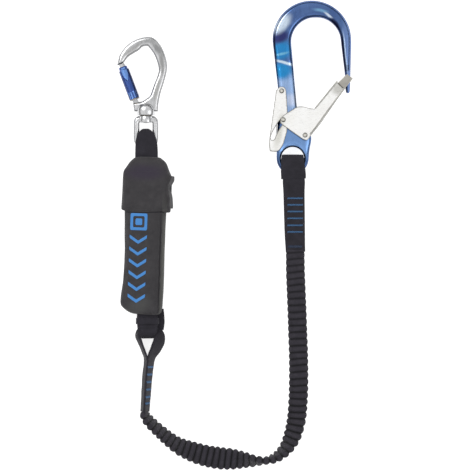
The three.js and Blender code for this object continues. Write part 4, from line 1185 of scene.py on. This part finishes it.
@dataclass
class HookEnd:
    """Webbing at the hook: the sewn loop, its wear sleeve and the bar tacks."""

    tacks: tuple[float, ...] = (10.9, 1.5, -7.6, -17.3, -26.9, -36.3)
    left: float = 74.4
    right: float = 95.4
    end_tack: float = -56.7

    def build(self) -> None:
        """Make the loop, the sleeve and the stitches."""
        m = HOOK_MIDDLE
        front = [
            (85.6, -64.5, 8.6, 27.5, 3.0, 0), (85.4, -60.5, 8.8, 27.5, 3.0, 0),
            (84.6, -40, 9.2, 28.6, 2.6, 0), (83.9, -10, 11.4, 29.4, 2.3, 0),
            (83.2, 20, 15.4, 30, 2.3, 0), (82.8, 36, 21.4, 31, 2.2, 0), (82, 50, m + 8.6, 27, 2.2, 0),
            (81.5, 60, m + 8.5, 27, 2.2, 0), (81.4, 66, m + 6.6, 27, 2.2, 0), (81.4, 69.4, m, 27, 2.2, 0),
            (81.4, 66, m - 6.6, 27, 2.2, 0), (81.5, 60, m - 8.5, 27, 2.2, 0),
            (82, 50, m - 8.6, 27, 2.2, 0),
            (83.6, 36, 6.6, 28, 2.2, 0), (84.2, 20, 9.6, 28, 2.3, 0), (84.4, -10, 7.4, 28, 2.3, 0),
            (84.8, -40, 6.0, 27.5, 2.6, 0), (85.1, -61.5, 5.0, 25.5, 3.2, 0),
        ]
        loop = Strap(front, across=(1, 0, 0)).build("hook_loop")
        dress(loop, WEBBING, "lanyard", "webbing", "upper_loop")
        wear = [
            (82.6, 38.4, m + 8.6, 34.4, 1.6, 0), (82.4, 44, m + 10.4, 34.4, 1.6, 0),
            (82.0, 50, m + 10.8, 34, 1.6, 0),
            (81.4, 57, m + 10.9, 33.2, 1.6, 0), (81.2, 64, m + 9.8, 32.4, 1.6, 0),
            (81.2, 69.4, m + 5.8, 30.6, 1.6, 0),
            (81.2, 71.6, m, 30, 1.6, 0), (81.2, 69.4, m - 5.8, 30.6, 1.6, 0),
            (81.2, 64, m - 9.8, 31.4, 1.6, 0),
            (81.4, 57, m - 10.9, 32.4, 1.6, 0), (82.0, 50, m - 10.8, 34, 1.6, 0),
            (82.4, 44, m - 10.4, 34.2, 1.6, 0),
            (82.6, 38.4, m - 9.2, 34.4, 1.6, 0),
        ]
        sleeve = Strap(wear, across=(1, 0, 0), step=1.2).build("hook_wear_sleeve", 0.5)
        dress(sleeve, WEBBING, "lanyard", "webbing", "wear_sleeve")
        self.stitches(Surface(loop))

    def stitches(self, surface: Surface) -> None:
        """The blue bar tacks, the seams beside them and the tack at the loop's end."""
        rows = []
        for number, y in enumerate(self.tacks):
            xs = np.linspace(self.left, self.right, 20)
            rows.append(surface.lay(np.stack([xs, np.full(20, y + 0.2 * (number % 2))], axis=1), 0.25))
        tacks = StitchRows(rows, 0.62, 3.0, 0.62, 68).build("hook_bar_tacks", THREAD.material())
        dress(tacks, None, "lanyard", "webbing")
        seams = []
        for side in (self.left - 0.8, self.right + 0.6):
            ys = np.linspace(self.tacks[0] + 2, self.tacks[-1] - 2, 26)
            seams.append(surface.lay(np.stack([np.full(26, side), ys], axis=1), 0.15))
        end = np.stack([np.linspace(75.5, 94.5, 20), np.full(20, self.end_tack)], axis=1)
        row = StitchRows([surface.lay(end, 0.1)], 0.7, 4.6, 0.7, 76)
        ends = row.build("hook_end_tack", DIM_THREAD.material())
        dress(ends, None, "lanyard", "webbing")
        dark = StitchRows(seams, 2.2, 1.7, 0.5).build("hook_edge_seams", DARK_THREAD.material())
        dress(dark, None, "lanyard", "webbing")


@dataclass
class LowerEnd:
    """Webbing below the absorber: the linked loop and the sewn leg, set on edge."""

    tacks: tuple[float, ...] = (-225.5, -235, -245.6, -256.3, -266.3, -276)

    def build(self) -> None:
        """Make the loop's band and the blue stitches on its leg."""
        route = [
            (-128.6, -288, 13, 25, 3.6, 12), (-127.0, -262, 13, 25.5, 3.4, 14),
            (-125.4, -236, 13, 25.5, 3.2, 14),
            (-124.0, -214, 12.8, 25, 3.0, 12), (-127.4, -203, 12, 23, 3.4, 12),
            (-132.6, -190, 11, 18, 4.2, 16),
            (-135.4, -181.5, 10.2, 13, 5.4, 24), (-131.6, -174.6, 10, 11, 6.6, 30),
            (-123, -172.8, 10, 11, 7.0, 40),
            (-113.4, -173.8, 10, 12, 7.0, 50), (-106.0, -179.5, 10.4, 15.5, 6.4, 52),
            (-105.6, -188, 11, 20, 5.6, 46),
            (-109.8, -199, 12, 23.5, 4.4, 36), (-116.4, -212, 12.8, 25, 3.2, 23),
            (-119.6, -236, 13, 25.5, 3.2, 18),
            (-121.8, -262, 13, 25.5, 3.4, 16), (-123.6, -288, 13, 25, 3.6, 14),
        ]
        strap = Strap(route, step=1.5)
        band = strap.build("lower_link_band", 0.35)
        dress(band, WEBBING, "lanyard", "webbing", "lower_loop")
        _, line, wide, normal = strap.rings()
        rows = []
        late = len(line) // 2
        for target in self.tacks:
            i = late + int(np.argmin(np.abs(line[late:, 1] - target)))
            face = normal[i] if normal[i][2] > 0 else -normal[i]
            reach = np.linspace(-0.30, 0.46, 14)[:, None] * line[i, 3]
            rows.append(line[i, :3] + wide[i] * reach + face * (line[i, 4] / 2 + 0.2))
        tacks = StitchRows(rows, 0.7, 3.8, 0.8, 60).build("lower_bar_tacks", THREAD.material())
        dress(tacks, None, "lanyard", "webbing")


# ---------------------------------------------------------------- absorber
@dataclass
class AbsorberLoops:
    """Webbing loops at both ends of the absorber."""

    bend: tuple[float, float] = (-14.0, 5.0)

    def top(self) -> None:
        """The loop round the swivel eye's bar, domed in front of the eye."""
        x, y, m = -123.4, EYE_BAR[1], BAR_MIDDLE
        route = [
            (x, y - 62, m + 6.5, 30, 2.4, 0), (x + 0.4, y - 44, m + 9.6, 31, 2.4, 0),
            (x + 0.5, y - 30, m + 11.4, 31.6, 2.4, 0),
            (x + 0.5, y - 18, m + 11.0, 31.8, 2.4, 0), (x + 0.3, y - 6, m + 9.0, 31.2, 2.4, 0),
            (x - 0.1, y + 2, m + 8.2, 29.8, 2.4, 0),
            (x - 0.5, y + 8, m + 7.6, 27.0, 2.4, 0), (x - 0.8, y + 13, m + 6.9, 22.0, 2.4, 0),
            (x - 1.0, y + 16.8, m + 5.2, 16.0, 2.4, 0), (x - 1.2, y + 18.6, m + 2.2, 10.0, 2.4, 0),
            (x - 1.0, y + 18.4, m - 2, 11.4, 2.4, 0), (x - 0.8, y + 15.2, m - 5.6, 14.4, 2.4, 0),
            (x - 0.8, y + 9, m - 7.2, 17, 2.4, 0),
            (x - 0.6, y, m - 7.4, 22, 2.4, 0), (x, y - 12, m - 6.0, 28, 2.4, 0),
            (x, y - 30, m - 1.0, 30, 2.4, 0),
            (x, y - 62, m + 3.6, 30, 2.4, 0),
        ]
        loop = Strap(route, across=(1, 0, 0), step=1.1, count=36).build("absorber_eye_loop", 0.5)
        loop.data.materials.append(WEBBING.material())
        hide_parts("absorber_top_loop")
        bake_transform(loop)
        LOG.info("%s bends between absorber and swivel_eye", loop.name)

    def bottom(self) -> None:
        """The loop below the pouch, with its rolled folds and the strap behind it."""
        x, y = -121.8, LINK[1]
        route = [
            (x, y + 33, 19.6, 29, 2.4, 0), (x, y + 22, 22.0, 29, 2.6, 0),
            (x, y + 17.4, 22.6, 29.0, 2.8, 0),
            (x, y + 15.2, 20.2, 28.4, 2.6, 0), (x, y + 12.4, 21.2, 28.8, 2.8, 0),
            (x, y + 8, 21.4, 28.2, 2.8, 0),
            (x, y + 4.6, 19.4, 27.6, 2.6, 0), (x, y, 18.8, 26.4, 2.6, 0), (x, y - 4.4, 17.0, 22, 2.5, 0),
            (x, y - 7.8, 12.6, 18, 2.4, 0), (x, y - 8.3, 8, 17, 2.4, 0), (x, y - 5, 3.2, 18, 2.4, 0),
            (x, y + 2, 1.7, 24, 2.4, 0), (x, y + 12, 4.6, 28, 2.4, 0), (x, y + 33, 12.6, 29, 2.4, 0),
        ]
        loop = Strap(route, across=(1, 0, 0), step=0.9, count=36).build("absorber_link_loop", 0.5)
        dress(loop, WEBBING, "absorber", "webbing", "absorber_bottom_loop")
        rear = [
            (-104.4, y + 2.5, 8.6, 10, 2.4, 0), (-103.9, y + 12, 11.6, 12, 2.4, 0),
            (-104.3, y + 22, 14.6, 12.4, 2.4, 0),
            (-105.0, y + 32, 16.4, 12, 2.4, 0),
        ]
        strap = Strap(rear, across=(1, 0, 0), step=1.0).build("absorber_rear_strap", 0.4)
        dress(strap, WEBBING, "absorber", "webbing")
        half_w, half_t, square = 15.6, 8.976, 3.0
        ring = []
        for angle in np.linspace(0, 2 * math.pi, 40, endpoint=False):
            cx, cz = math.cos(angle), math.sin(angle)
            out = (max(abs(cx) ** square, 1e-6) + max(abs(cz) ** square, 1e-6)) ** (-1 / square)
            ring.append((x + half_w * cx * out, y + 15.3, 15.6 + half_t * cz * out, 8.6, 1.3, 0))
        ring.append(ring[0])
        keeper = Strap(ring, across=(0, 1, 0), step=1.2, count=20).build("absorber_keeper", 0.4)
        dress(keeper, WEBBING, "absorber", "pouch_cloth", "loop_keeper")

    def build(self) -> None:
        """Make both loops."""
        self.top()
        self.bottom()


@dataclass
class Pouch:
    """The absorber's cloth pouch and the cap over its head, stuffed with the tear webbing."""

    voxel: float = 4.5
    pressure: float = 4.0
    frames: int = 18
    swell: float = 3.4
    fold_height: float = 0.7
    fold_side: float = 0.4
    chevrons: int = 6
    chevron_top: float = 112.0
    chevron_pitch: float = 16.4

    @staticmethod
    def section(left: float, right: float, low: float, high: float, y: float, roundness: float) -> Array:
        """One ring of a soft box, at a height along the pouch.

        Args:
            left: reach to the left of the pouch's middle line.
            right: reach to the right.
            low: height of the underside.
            high: height of the upper side.
            y: distance from the pouch's foot.
            roundness: how square the ring is, from 0.2 to 1.

        Returns:
            The ring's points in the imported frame.
        """
        cx, cy = oval(56, roundness, roundness)
        half_w, half_t = (left + right) / 2, (high - low) / 2
        ring = []
        for a, b in zip(cx, cy):
            px, py = pouch_place((right - left) / 2 + a * half_w, y)
            ring.append((px, py, (low + high) / 2 + b * half_t))
        return np.array(ring)

    def lofted(self, name: str, stations: Sequence[Row]) -> Piece:
        """A closed shell over stations of left, right, low, high, y and roundness."""
        rows = np.asarray(stations, float)
        order = np.c_[rows[:, 4], np.zeros((len(rows), 2)), rows]
        fine = even(spline(order, 8), 2.5)
        rings = np.array([self.section(*r[3:9]) for r in fine])
        return skin(name, rings, 80)

    def stuffed(self, piece: Piece, lowest: float, highest: float) -> Piece:
        """Swell a shell by a short cloth simulation and bring it back inside its room.

        Args:
            piece: the closed shell, which is changed in place.
            lowest: height of the surface below it.
            highest: greatest height that it may reach.

        Returns:
            The piece.
        """
        self.blow_up(piece)
        smooth = piece.modifiers.new("smooth", "SUBSURF")
        smooth.levels = smooth.render_levels = 1
        self.apply(piece)
        co = np.array([v.co[:] for v in piece.data.vertices])
        for i, (px, py, pz) in enumerate(co):
            broad = noise.noise(Vector((px * 70, py * 26, pz * 60)))
            fold = broad + 0.5 * noise.noise(Vector((px * 150, py * 60, pz * 90)))
            co[i, 2] = pz + self.fold_height * MM * fold
            co[i, 0] = px + self.fold_side * MM * fold
        co[:, 2] = np.clip(co[:, 2], lowest * MM, highest * MM)
        piece.data.vertices.foreach_set("co", co.astype(np.float32).ravel())
        piece.data.update()
        piece.data.shade_smooth()
        return piece

    def blow_up(self, piece: Piece) -> None:
        """Swell a shell under pressure for a few frames, and hold each point near where it was."""
        remesh = piece.modifiers.new("remesh", "REMESH")
        remesh.mode = "VOXEL"
        remesh.voxel_size = self.voxel * MM
        self.apply(piece)
        start = np.array([v.co[:] for v in piece.data.vertices])
        cloth = piece.modifiers.new("cloth", "CLOTH")
        settings = cloth.settings
        settings.quality = 5
        settings.mass = 0.3
        settings.use_pressure = True
        settings.uniform_pressure_force = self.pressure
        settings.effector_weights.gravity = 0.0
        settings.tension_stiffness = settings.compression_stiffness = 12.0
        settings.bending_stiffness = 0.6
        cloth.collision_settings.use_collision = False
        for number in range(1, self.frames + 1):
            bpy.context.scene.frame_set(number)
        self.apply(piece)
        bpy.context.scene.frame_set(1)
        move = np.array([v.co[:] for v in piece.data.vertices]) - start
        far = np.linalg.norm(move, axis=1, keepdims=True)
        held = start + move * np.minimum(1.0, self.swell * MM / np.maximum(far, 1e-9))
        piece.data.vertices.foreach_set("co", held.astype(np.float32).ravel())

    @staticmethod
    def apply(piece: Piece) -> None:
        """Fix a piece's modifiers into its mesh."""
        shown = piece.evaluated_get(bpy.context.evaluated_depsgraph_get())
        mesh = bpy.data.meshes.new_from_object(shown)
        piece.modifiers.clear()
        piece.data = mesh

    def body(self) -> Piece:
        """The long body, its lower left corner folded in."""
        stations = [
            (12, 25, 10, 27, 0.5, 0.7), (17, 28.5, 5.5, 31, 2.5, 0.5), (24.5, 29.6, 3.6, 33, 7, 0.42),
            (29.4, 30, 3.2, 33.4, 12, 0.38), (30.4, 30.2, 3, 33.4, 20, 0.36),
            (30.4, 30, 3, 33.2, 60, 0.36),
            (30, 29.8, 3, 33, 110, 0.36), (29.6, 29.6, 3, 32.6, 150, 0.36), (29, 29, 4, 31.6, 185, 0.4),
            (27, 27, 7, 29, 196, 0.5),
        ]
        shell = self.stuffed(self.lofted("absorber_pouch", stations), 1.4, 35.4)
        dress(shell, POUCH, "absorber", "pouch_cloth", "pouch_body")
        return shell

    def cap(self) -> Piece:
        """The cap over the head, flared at its lower right corner and gathered at its shoulders."""
        stations = [
            (34.6, 37.2, 1.6, 34.6, 144.6, 0.26), (33.6, 36.2, 1.4, 35.0, 147, 0.26),
            (32.7, 34.6, 1.2, 35.2, 152, 0.26),
            (32.4, 31.6, 1.2, 35.4, 162, 0.26), (32.5, 31.4, 1.2, 35.4, 178, 0.28),
            (32.6, 33.6, 1.2, 35.2, 189, 0.30),
            (32.6, 35.6, 1.4, 35.0, 195, 0.32), (32.4, 31.4, 1.6, 34.4, 201, 0.34),
            (28.4, 30.4, 3.6, 32.6, 206, 0.40),
            (25.8, 28.8, 5.6, 31.4, 210.5, 0.46), (23.8, 27.2, 7.6, 30.0, 214.5, 0.50),
            (18.6, 22.4, 9.6, 28.4, 218.4, 0.56),
            (15.8, 17.4, 11.4, 26.2, 221.6, 0.6),
        ]
        shell = self.stuffed(self.lofted("absorber_cap", stations), 0.05, 37.6)
        dress(shell, POUCH, "absorber", "pouch_cloth", "pouch_cap")
        return shell

    def trims(self, surface: Surface) -> None:
        """The cap's hem, side bindings and their seams."""
        def across(y: float, left: float, right: float) -> Array:
            """A line across the pouch."""
            return np.array([pouch_place(t, y) for t in np.linspace(left, right, 36)])

        def along(x: float, low: float, high: float) -> Array:
            """A line along the pouch."""
            return np.array([pouch_place(x, t) for t in np.linspace(low, high, 70)])

        lines = [
            across(150.5, -28, 30), along(-25.6, 16, 144), along(19.6, 4, 144), across(200.5, -24, 24),
            along(-27.4, 152, 196),
        ]
        seams = [surface.lay(line, 0.12) for line in lines]
        thread = StitchRows(seams, 3.0, 2.3, 0.42).build("pouch_seams", DARK_THREAD.material())
        dress(thread, None, "absorber", "pouch_cloth")
        trims = [
            ("cap_hem", across(147.2, -30.5, 32.5), (0, 1, 0)),
            ("side_binding", along(23.2, 5, 145), (1, 0, 0)),
        ]
        for name, line, side in trims:
            route = [(*p, 2.0, 1.1, 0) for p in surface.lay(line, 0.1)[::3]]
            trim = Strap(route, across=side, step=1.4, count=14).build(name, 0.2)
            dress(trim, POUCH, "absorber", "pouch_cloth")

    def print(self, surface: Surface) -> None:
        """The blue print: a plain framed mark above a column of chevrons."""
        shapes = [[self.box(-19.5, 118.5, 4.0, 142.0), self.box(-15.6, 122.4, 0.2, 138.1)],
                  [self.box(-12.4, 125.6, -3.0, 134.9)]]
        half, drop, stroke = 12, 8.0, 4.6
        for i in range(self.chevrons):
            top = self.chevron_top - self.chevron_pitch * i
            upper = [(-half, top), (0, top - drop), (half, top)]
            corners = upper + [(x, y - stroke) for x, y in reversed(upper)]
            shapes.append([np.array([pouch_place(x - 7.8, y) for x, y in corners])])
        points, faces = [], []
        for loops in shapes:
            plate = ForgedPlate(loops, 0.0, [(0, 0.12), (0.3, 0.2)], step=1.3, smooth=0).build("print_part")
            first = len(points)
            for v in plate.data.vertices:
                x, y, z = v.co / MM
                points.append((x, y, surface.height(x, y) + 0.12 + z))
            faces += [tuple(first + i for i in p.vertices) for p in plate.data.polygons]
            bpy.data.objects.remove(plate)
        dress(mesh_object("pouch_print", np.array(points), faces), PRINT, "absorber", "pouch_cloth")

    @staticmethod
    def box(left: float, low: float, right: float, high: float) -> Array:
        """A square-cornered outline on the pouch, with its corners eased."""
        e = 1.2
        corners = [(left + e, low), (right - e, low), (right, low + e), (right, high - e),
                   (right - e, high), (left + e, high), (left, high - e), (left, low + e)]
        return np.array([pouch_place(x, y) for x, y in corners])

    def tab(self) -> None:
        """The closure tab on the cap's right side."""
        low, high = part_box("closure_tab")
        x1, z0, z1 = high.x / MM, low.z / MM, high.z / MM
        foot, head = low.y / MM + 1.5, high.y / MM - 1.5
        rows = []
        for t in np.linspace(0, 1, 11):
            y = foot + (head - foot) * t
            waist = 3.2 * math.exp(-((t - 0.62) / 0.2) ** 2) - 1.6 * math.exp(-((t - 0.95) / 0.12) ** 2)
            rows.append((x1 - 3.4 - waist - 1.4 * (1 - t), y, (z0 + z1) / 2, z1 - z0, 4.6, 0))
        tab = Strap(rows, across=(-0.16, 0, 1), step=1.4, count=28).build("cap_tab", 0.9)
        dress(tab, POUCH, "closure_tab", "pouch_cloth", "closure_tab")

    def build(self) -> None:
        """Make the whole pouch."""
        body, cap = self.body(), self.cap()
        surface = Surface(body, cap)
        self.trims(surface)
        self.print(surface)
        self.tab()


# ---------------------------------------------------------------- swivel carabiner
@dataclass
class SwivelCarabiner:
    """The polished swivel carabiner with its turning blue lock sleeve."""

    boss: float = 9.4
    sleeve_r: float = 7.35
    sleeve_foot: float = 8.2
    sleeve_top: float = 55.8
    flutes: int = 12
    grip: float = 10.5
    collar_top: float = 37.8
    collar_height: float = 9.3
    dome_foot: float = 39.0
    dome_spread: float = 1.15

    def frame(self) -> None:
        """The forged bow with its flat band and shaped edges."""
        loops = cut_loops("carabiner_frame", BAR_MIDDLE + 3.0)[:1]
        section = [(0, 1.9), (0.35, 3.1), (1.0, 4.2), (1.9, 5.0), (2.9, 5.35), (4.0, 5.5)]
        bow = ForgedPlate(loops, BAR_MIDDLE, section, 0.8, smooth=16, rim=1.1).build("carabiner_bow", 24)
        dress(bow, POLISHED, "carabiner", "polished_aluminium", "carabiner_frame")
        r = self.boss + 1.9
        dome = [(0.0, 1.0), (r - 1.6, 1.0), (r - 1.4, 0.2), (r - 0.4, 0.0), (r, 0.5), (r, 6.8)]
        rise = np.linspace(0.12, math.pi / 2, 14)
        dome += [(max(r * math.cos(a), 0.01), 6.8 + r * math.sin(a)) for a in rise]
        middle = EYE_BAR[0] * MM
        foot = (EYE_BAR[0], EYE_BAR[1] + self.dome_foot, BAR_MIDDLE)
        cap = Turning(dome, foot, (0, 1, 0)).build("swivel_dome")
        for vertex in cap.data.vertices:
            vertex.co.z = max(vertex.co.z, 0.05 * MM)
            vertex.co.x = middle + self.dome_spread * (vertex.co.x - middle)
        dress(cap, POLISHED, "carabiner", "polished_aluminium")

    def eye(self) -> None:
        """The swivel's eye: a rounded link and its collar."""
        loops = cut_loops("swivel_eye", BAR_MIDDLE + 2.15, 30)[:2]
        arc = [(4 * (1 - math.cos(a)), max(4 * math.sin(a), 0.5)) for a in np.linspace(0.08, math.pi / 2, 7)]
        section = [(0, arc[0][1]), *arc[1:]]
        link = ForgedPlate(loops, BAR_MIDDLE, section, 0.7, smooth=14).build("eye_link", 60)
        dress(link, POLISHED, "swivel_eye", "polished_aluminium", "swivel_eye")
        r, top = self.boss, self.collar_top
        foot = top - self.collar_height
        collar = [
            (4.5, foot), (r - 1.2, foot), (r - 0.3, foot + 0.5), (r, foot + 1.4), (r, top - 1.2),
            (r - 0.4, top - 0.4), (r - 1.2, top), (4.5, top),
        ]
        piece = Turning(collar + collar[:1], (*EYE_BAR, BAR_MIDDLE), (0, 1, 0)).build("eye_collar")
        dress(piece, POLISHED, "swivel_eye", "polished_aluminium")

    def sleeve(self) -> None:
        """The lock sleeve: a stepped tube with a fluted grip and a pointed window."""
        axis = np.array([-math.sin(GATE_LEAN), math.cos(GATE_LEAN), 0.0])
        r, low, high = self.sleeve_r, self.sleeve_foot, self.sleeve_top
        wall = [(r - 0.7, low), (r, low + 0.7), (r, high - 5.2), (5.9, high - 3.9), (5.9, high - 0.5)]
        outer = rounded(wall, 0.55)
        profile = [(4.6, low), *outer, (5.4, high), (4.6, high)]

        def shape(angle: Array, height: Array) -> Array:
            """Flutes on the grip and the window's recess."""
            flutes = np.clip(np.cos(self.flutes * angle), -0.2, 1.0)
            grip = np.clip((low + self.grip - height) / 1.2, 0, 1) * np.clip((height - low - 0.4) / 0.8, 0, 1)
            recess = self.window(angle, height)
            return -0.55 * grip * (1 - flutes) * 0.5 - 0.2 * recess

        tube = Turning(profile + [profile[0]], (*GATE_HINGE, BAR_MIDDLE), tuple(axis), 144)
        piece = tube.build("lock_sleeve_tube", 30, shape)
        piece.data.materials.append(SLEEVE_BLUE.material())
        piece.data.materials.append(WINDOW_BLUE.material())
        e1 = unit(np.cross(UP, axis))
        e2 = np.cross(axis, e1)
        hinge = np.array([*GATE_HINGE, BAR_MIDDLE])
        for polygon in piece.data.polygons:
            p = np.array(polygon.center) / MM - hinge
            angle = math.atan2(float(p @ e2), float(p @ e1))
            height = float(p @ axis)
            radius = math.hypot(float(p @ e2), float(p @ e1))
            grip = low + 0.6 < height < low + self.grip - 0.5 and math.cos(self.flutes * angle) < -0.1
            if radius > 5.3 and (float(self.window(np.array(angle), np.array(height))) > 0.6 or grip):
                polygon.material_index = 1
        dress(piece, None, "lock_sleeve", "blue_sleeve", "lock_sleeve")

    def window(self, angle: Array, height: Array) -> Array:
        """How deep inside the pointed window a place on the sleeve is, from 0 to 1."""
        front = math.pi / 2
        off = np.abs((angle - front + math.pi) % (2 * math.pi) - math.pi)
        half = np.clip((height - 33.5) / 11.0, 0, 1) * 0.62
        edge = np.clip((half - off) / 0.07, 0, 1)
        return edge * np.clip((self.sleeve_top - 1.2 - height) / 0.6, 0, 1)

    def carried_over(self) -> None:
        """Finishes for the inner pieces that keep their CAD shape."""
        pins = (
            "carabiner_gate_pin", "sleeve_thrust_ring", "sleeve_guide_pin", "swivel_stud", "swivel_washer",
        )
        dress_nodes({"carabiner_gate": POLISHED, "sleeve_spring": SPRING, **dict.fromkeys(pins, SATIN)})

    def build(self) -> None:
        """Make the whole connector."""
        self.frame()
        self.eye()
        self.sleeve()
        self.carried_over()


def dress_nodes(finishes: dict[str, Finish]) -> None:
    """Give CAD nodes that stay visible their finished materials."""
    for node, finish in finishes.items():
        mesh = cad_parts[node].data
        mesh.materials.clear()
        mesh.materials.append(finish.material())
        LOG.info("%s keeps its shape", node)


# ---------------------------------------------------------------- scaffold hook
@dataclass
class ScaffoldHook:
    """The blue forged hook with its sheet gate and lever."""

    gate_half: float = 11.2
    lever_half: float = 8.3
    cheek: tuple[tuple[float, float], ...] = ((0, 0.45), (0.4, 0.9))
    ridge_top: float = 11.9

    def body(self) -> None:
        """The forging: crown, spine, tip and eye, with broad bevels."""
        loops = cut_loops("hook_body", HOOK_MIDDLE, 80)[:2]
        section = [(0, 2.2), (0.5, 3.2), (2.4, 5.3), (4.4, 6.6), (5.0, 6.8), (7.5, 7.0)]

        def relief(xy: Array, depth: Array) -> Array:
            """A thinner foot below the spine's throat, and a gently hollowed face above it."""
            y = xy[:, 1]
            low = np.clip((206 - y) / 14, 0, 1)
            low = low * low * (3 - 2 * low)
            lip = np.exp(-((y - 197) / 6.0) ** 2)
            spine = np.clip((118 - xy[:, 0]) / 12, 0, 1)
            hollow = np.clip((depth - 5.0) / 3.5, 0, 1) * np.clip((y - 205) / 20, 0, 1)
            return -spine * np.clip(depth / 4.0, 0, 1) * (0.9 * low + 0.55 * lip) - 0.5 * hollow

        forging = ForgedPlate(loops, HOOK_MIDDLE, section, 1.0, relief, 16).build("hook_forging", 22)
        dress(forging, BLUE, "hook", "blue_anodised", "hook_body")

    def gate(self) -> None:
        """The sheet gate: two cheeks, the web between them and the ridges pressed along the arm."""
        self.sheet_metal("gate", self.gate_half, (60, 1), (0.9, 12, 1.0))
        top = HOOK_MIDDLE + self.ridge_top
        ridges = [
            [(112.4, 136.0), (122, 147.7), (132, 160.1), (143.4, 174)],
            [(105.4, 99.8), (113, 109.4), (125.4, 126.6), (138, 143.6), (153.6, 164.6)],
        ]
        for number, places in enumerate(ridges):
            rows = [(x, y, top, 2.5, 1.5, 90) for x, y in places]
            ridge = Strap(rows, step=1.5, count=16).build(f"gate_ridge_{number}", 0.0)
            dress(ridge, SHADED_RIDGE, "hook_gate", "sheet_steel")

    def lever(self) -> None:
        """The lever's two cheeks and the web along its outer edge."""
        self.sheet_metal("lever", self.lever_half, (25, 2), (0.8, 10, 0.8))

    def sheet_metal(
        self, part: str, half: float, cut: tuple[float, int], fine: tuple[float, int, float]
    ) -> None:
        """A folded sheet: a front and a back cheek, and the webs between them.

        Args:
            part: gate or lever.
            half: distance from the hook's middle to a cheek's middle.
            cut: a cheek's shortest loop that counts, and how many loops it has.
            fine: the cheeks' mesh step, how often their outline is smoothed, and the webs' mesh step.
        """
        body, pieces = f"hook_{part}", []
        for side, height in (("front", HOOK_MIDDLE + half), ("back", HOOK_MIDDLE - half)):
            loops = cut_loops(body, height, cut[0])[: cut[1]]
            cheek = ForgedPlate(loops, height, list(self.cheek), fine[0], smooth=fine[1])
            pieces.append(cheek.build(f"{part}_{side}_cheek", 26))
        inner = half - self.cheek[-1][1]
        for number, loop in enumerate(cut_loops(body, HOOK_MIDDLE, 20)):
            web = ForgedPlate([loop], HOOK_MIDDLE, [(0, inner - 0.05), (0.05, inner)], fine[2], smooth=0)
            pieces.append(web.build(f"{part}_web_{number}", 26))
        for number, piece in enumerate(pieces):
            dress(piece, SHEET, body, "sheet_steel", *([body] if number == 0 else []))

    @staticmethod
    def rivet(name: str, at: tuple[float, float], low: float, high: float, both: bool) -> Piece:
        """A rivet with a rounded, dimpled head on top, and on its foot if both.

        Args:
            name: the piece's name.
            at: its place.
            low: height of its foot.
            high: height of its head's top.
            both: whether the foot has a head too.

        Returns:
            The piece.
        """
        head = [
            (3.35, -1.6), (3.4, -0.9), (3.1, -0.3), (2.5, 0.0), (1.75, -0.05), (1.35, -0.5), (0.01, -0.55),
        ]
        shank = 2.38
        if both:
            foot = [(r, low - h) for r, h in reversed(head)]
        else:
            foot = [(0.01, low), (shank - 0.3, low), (shank, low + 0.3)]
        profile = [*foot, (shank, foot[-1][1]), (shank, high - 1.6), *((r, high + h) for r, h in head)]
        return Turning(profile, (*at, 0), (0, 0, 1), 40).build(name, 35)

    def rivets(self) -> None:
        """The rivets of the gate, the lever and the cam."""
        m = HOOK_MIDDLE
        jobs = [
            ("gate_rivet", GATE_PIVOT, m - 14.1, m + 14.1, True, "hook", "hook_gate_rivet"),
            ("lever_rivet", LEVER_PIVOT, m - 11.2, m + 11.2, True, "hook", "hook_lever_rivet"),
            ("cam_rivet", CAM_PIN, m + 7.4, m + 14.1, False, "hook_gate", "cam_stud_front"),
        ]
        for name, at, low, high, both, body, node in jobs:
            dress(self.rivet(name, at, low, high, both), RIVET, body, "satin_steel", node)

    def build(self) -> None:
        """Make the whole hook."""
        self.body()
        self.gate()
        self.lever()
        self.rivets()
        dress_nodes(dict.fromkeys(("hook_gate_nose", "hook_gate_washer", "cam_stud_back"), SATIN))
        dress_nodes(dict.fromkeys(("hook_gate_spring", "lever_leaf_spring"), SPRING))


def main() -> None:
    """Build the studio and every sub-assembly in order."""
    logging.basicConfig(level=logging.INFO, format="%(message)s")
    Studio().build()
    ElasticBand().build()
    HookEnd().build()
    LowerEnd().build()
    AbsorberLoops().build()
    Pouch().build()
    SwivelCarabiner().build()
    ScaffoldHook().build()
    dress_nodes({"tear_pack": WEBBING_IN_POUCH})
    dress_nodes(dict.fromkeys(("pack_band", "fastener_hooks", "fastener_loops"), TAPE))


if __name__ == "__main__":
    main()
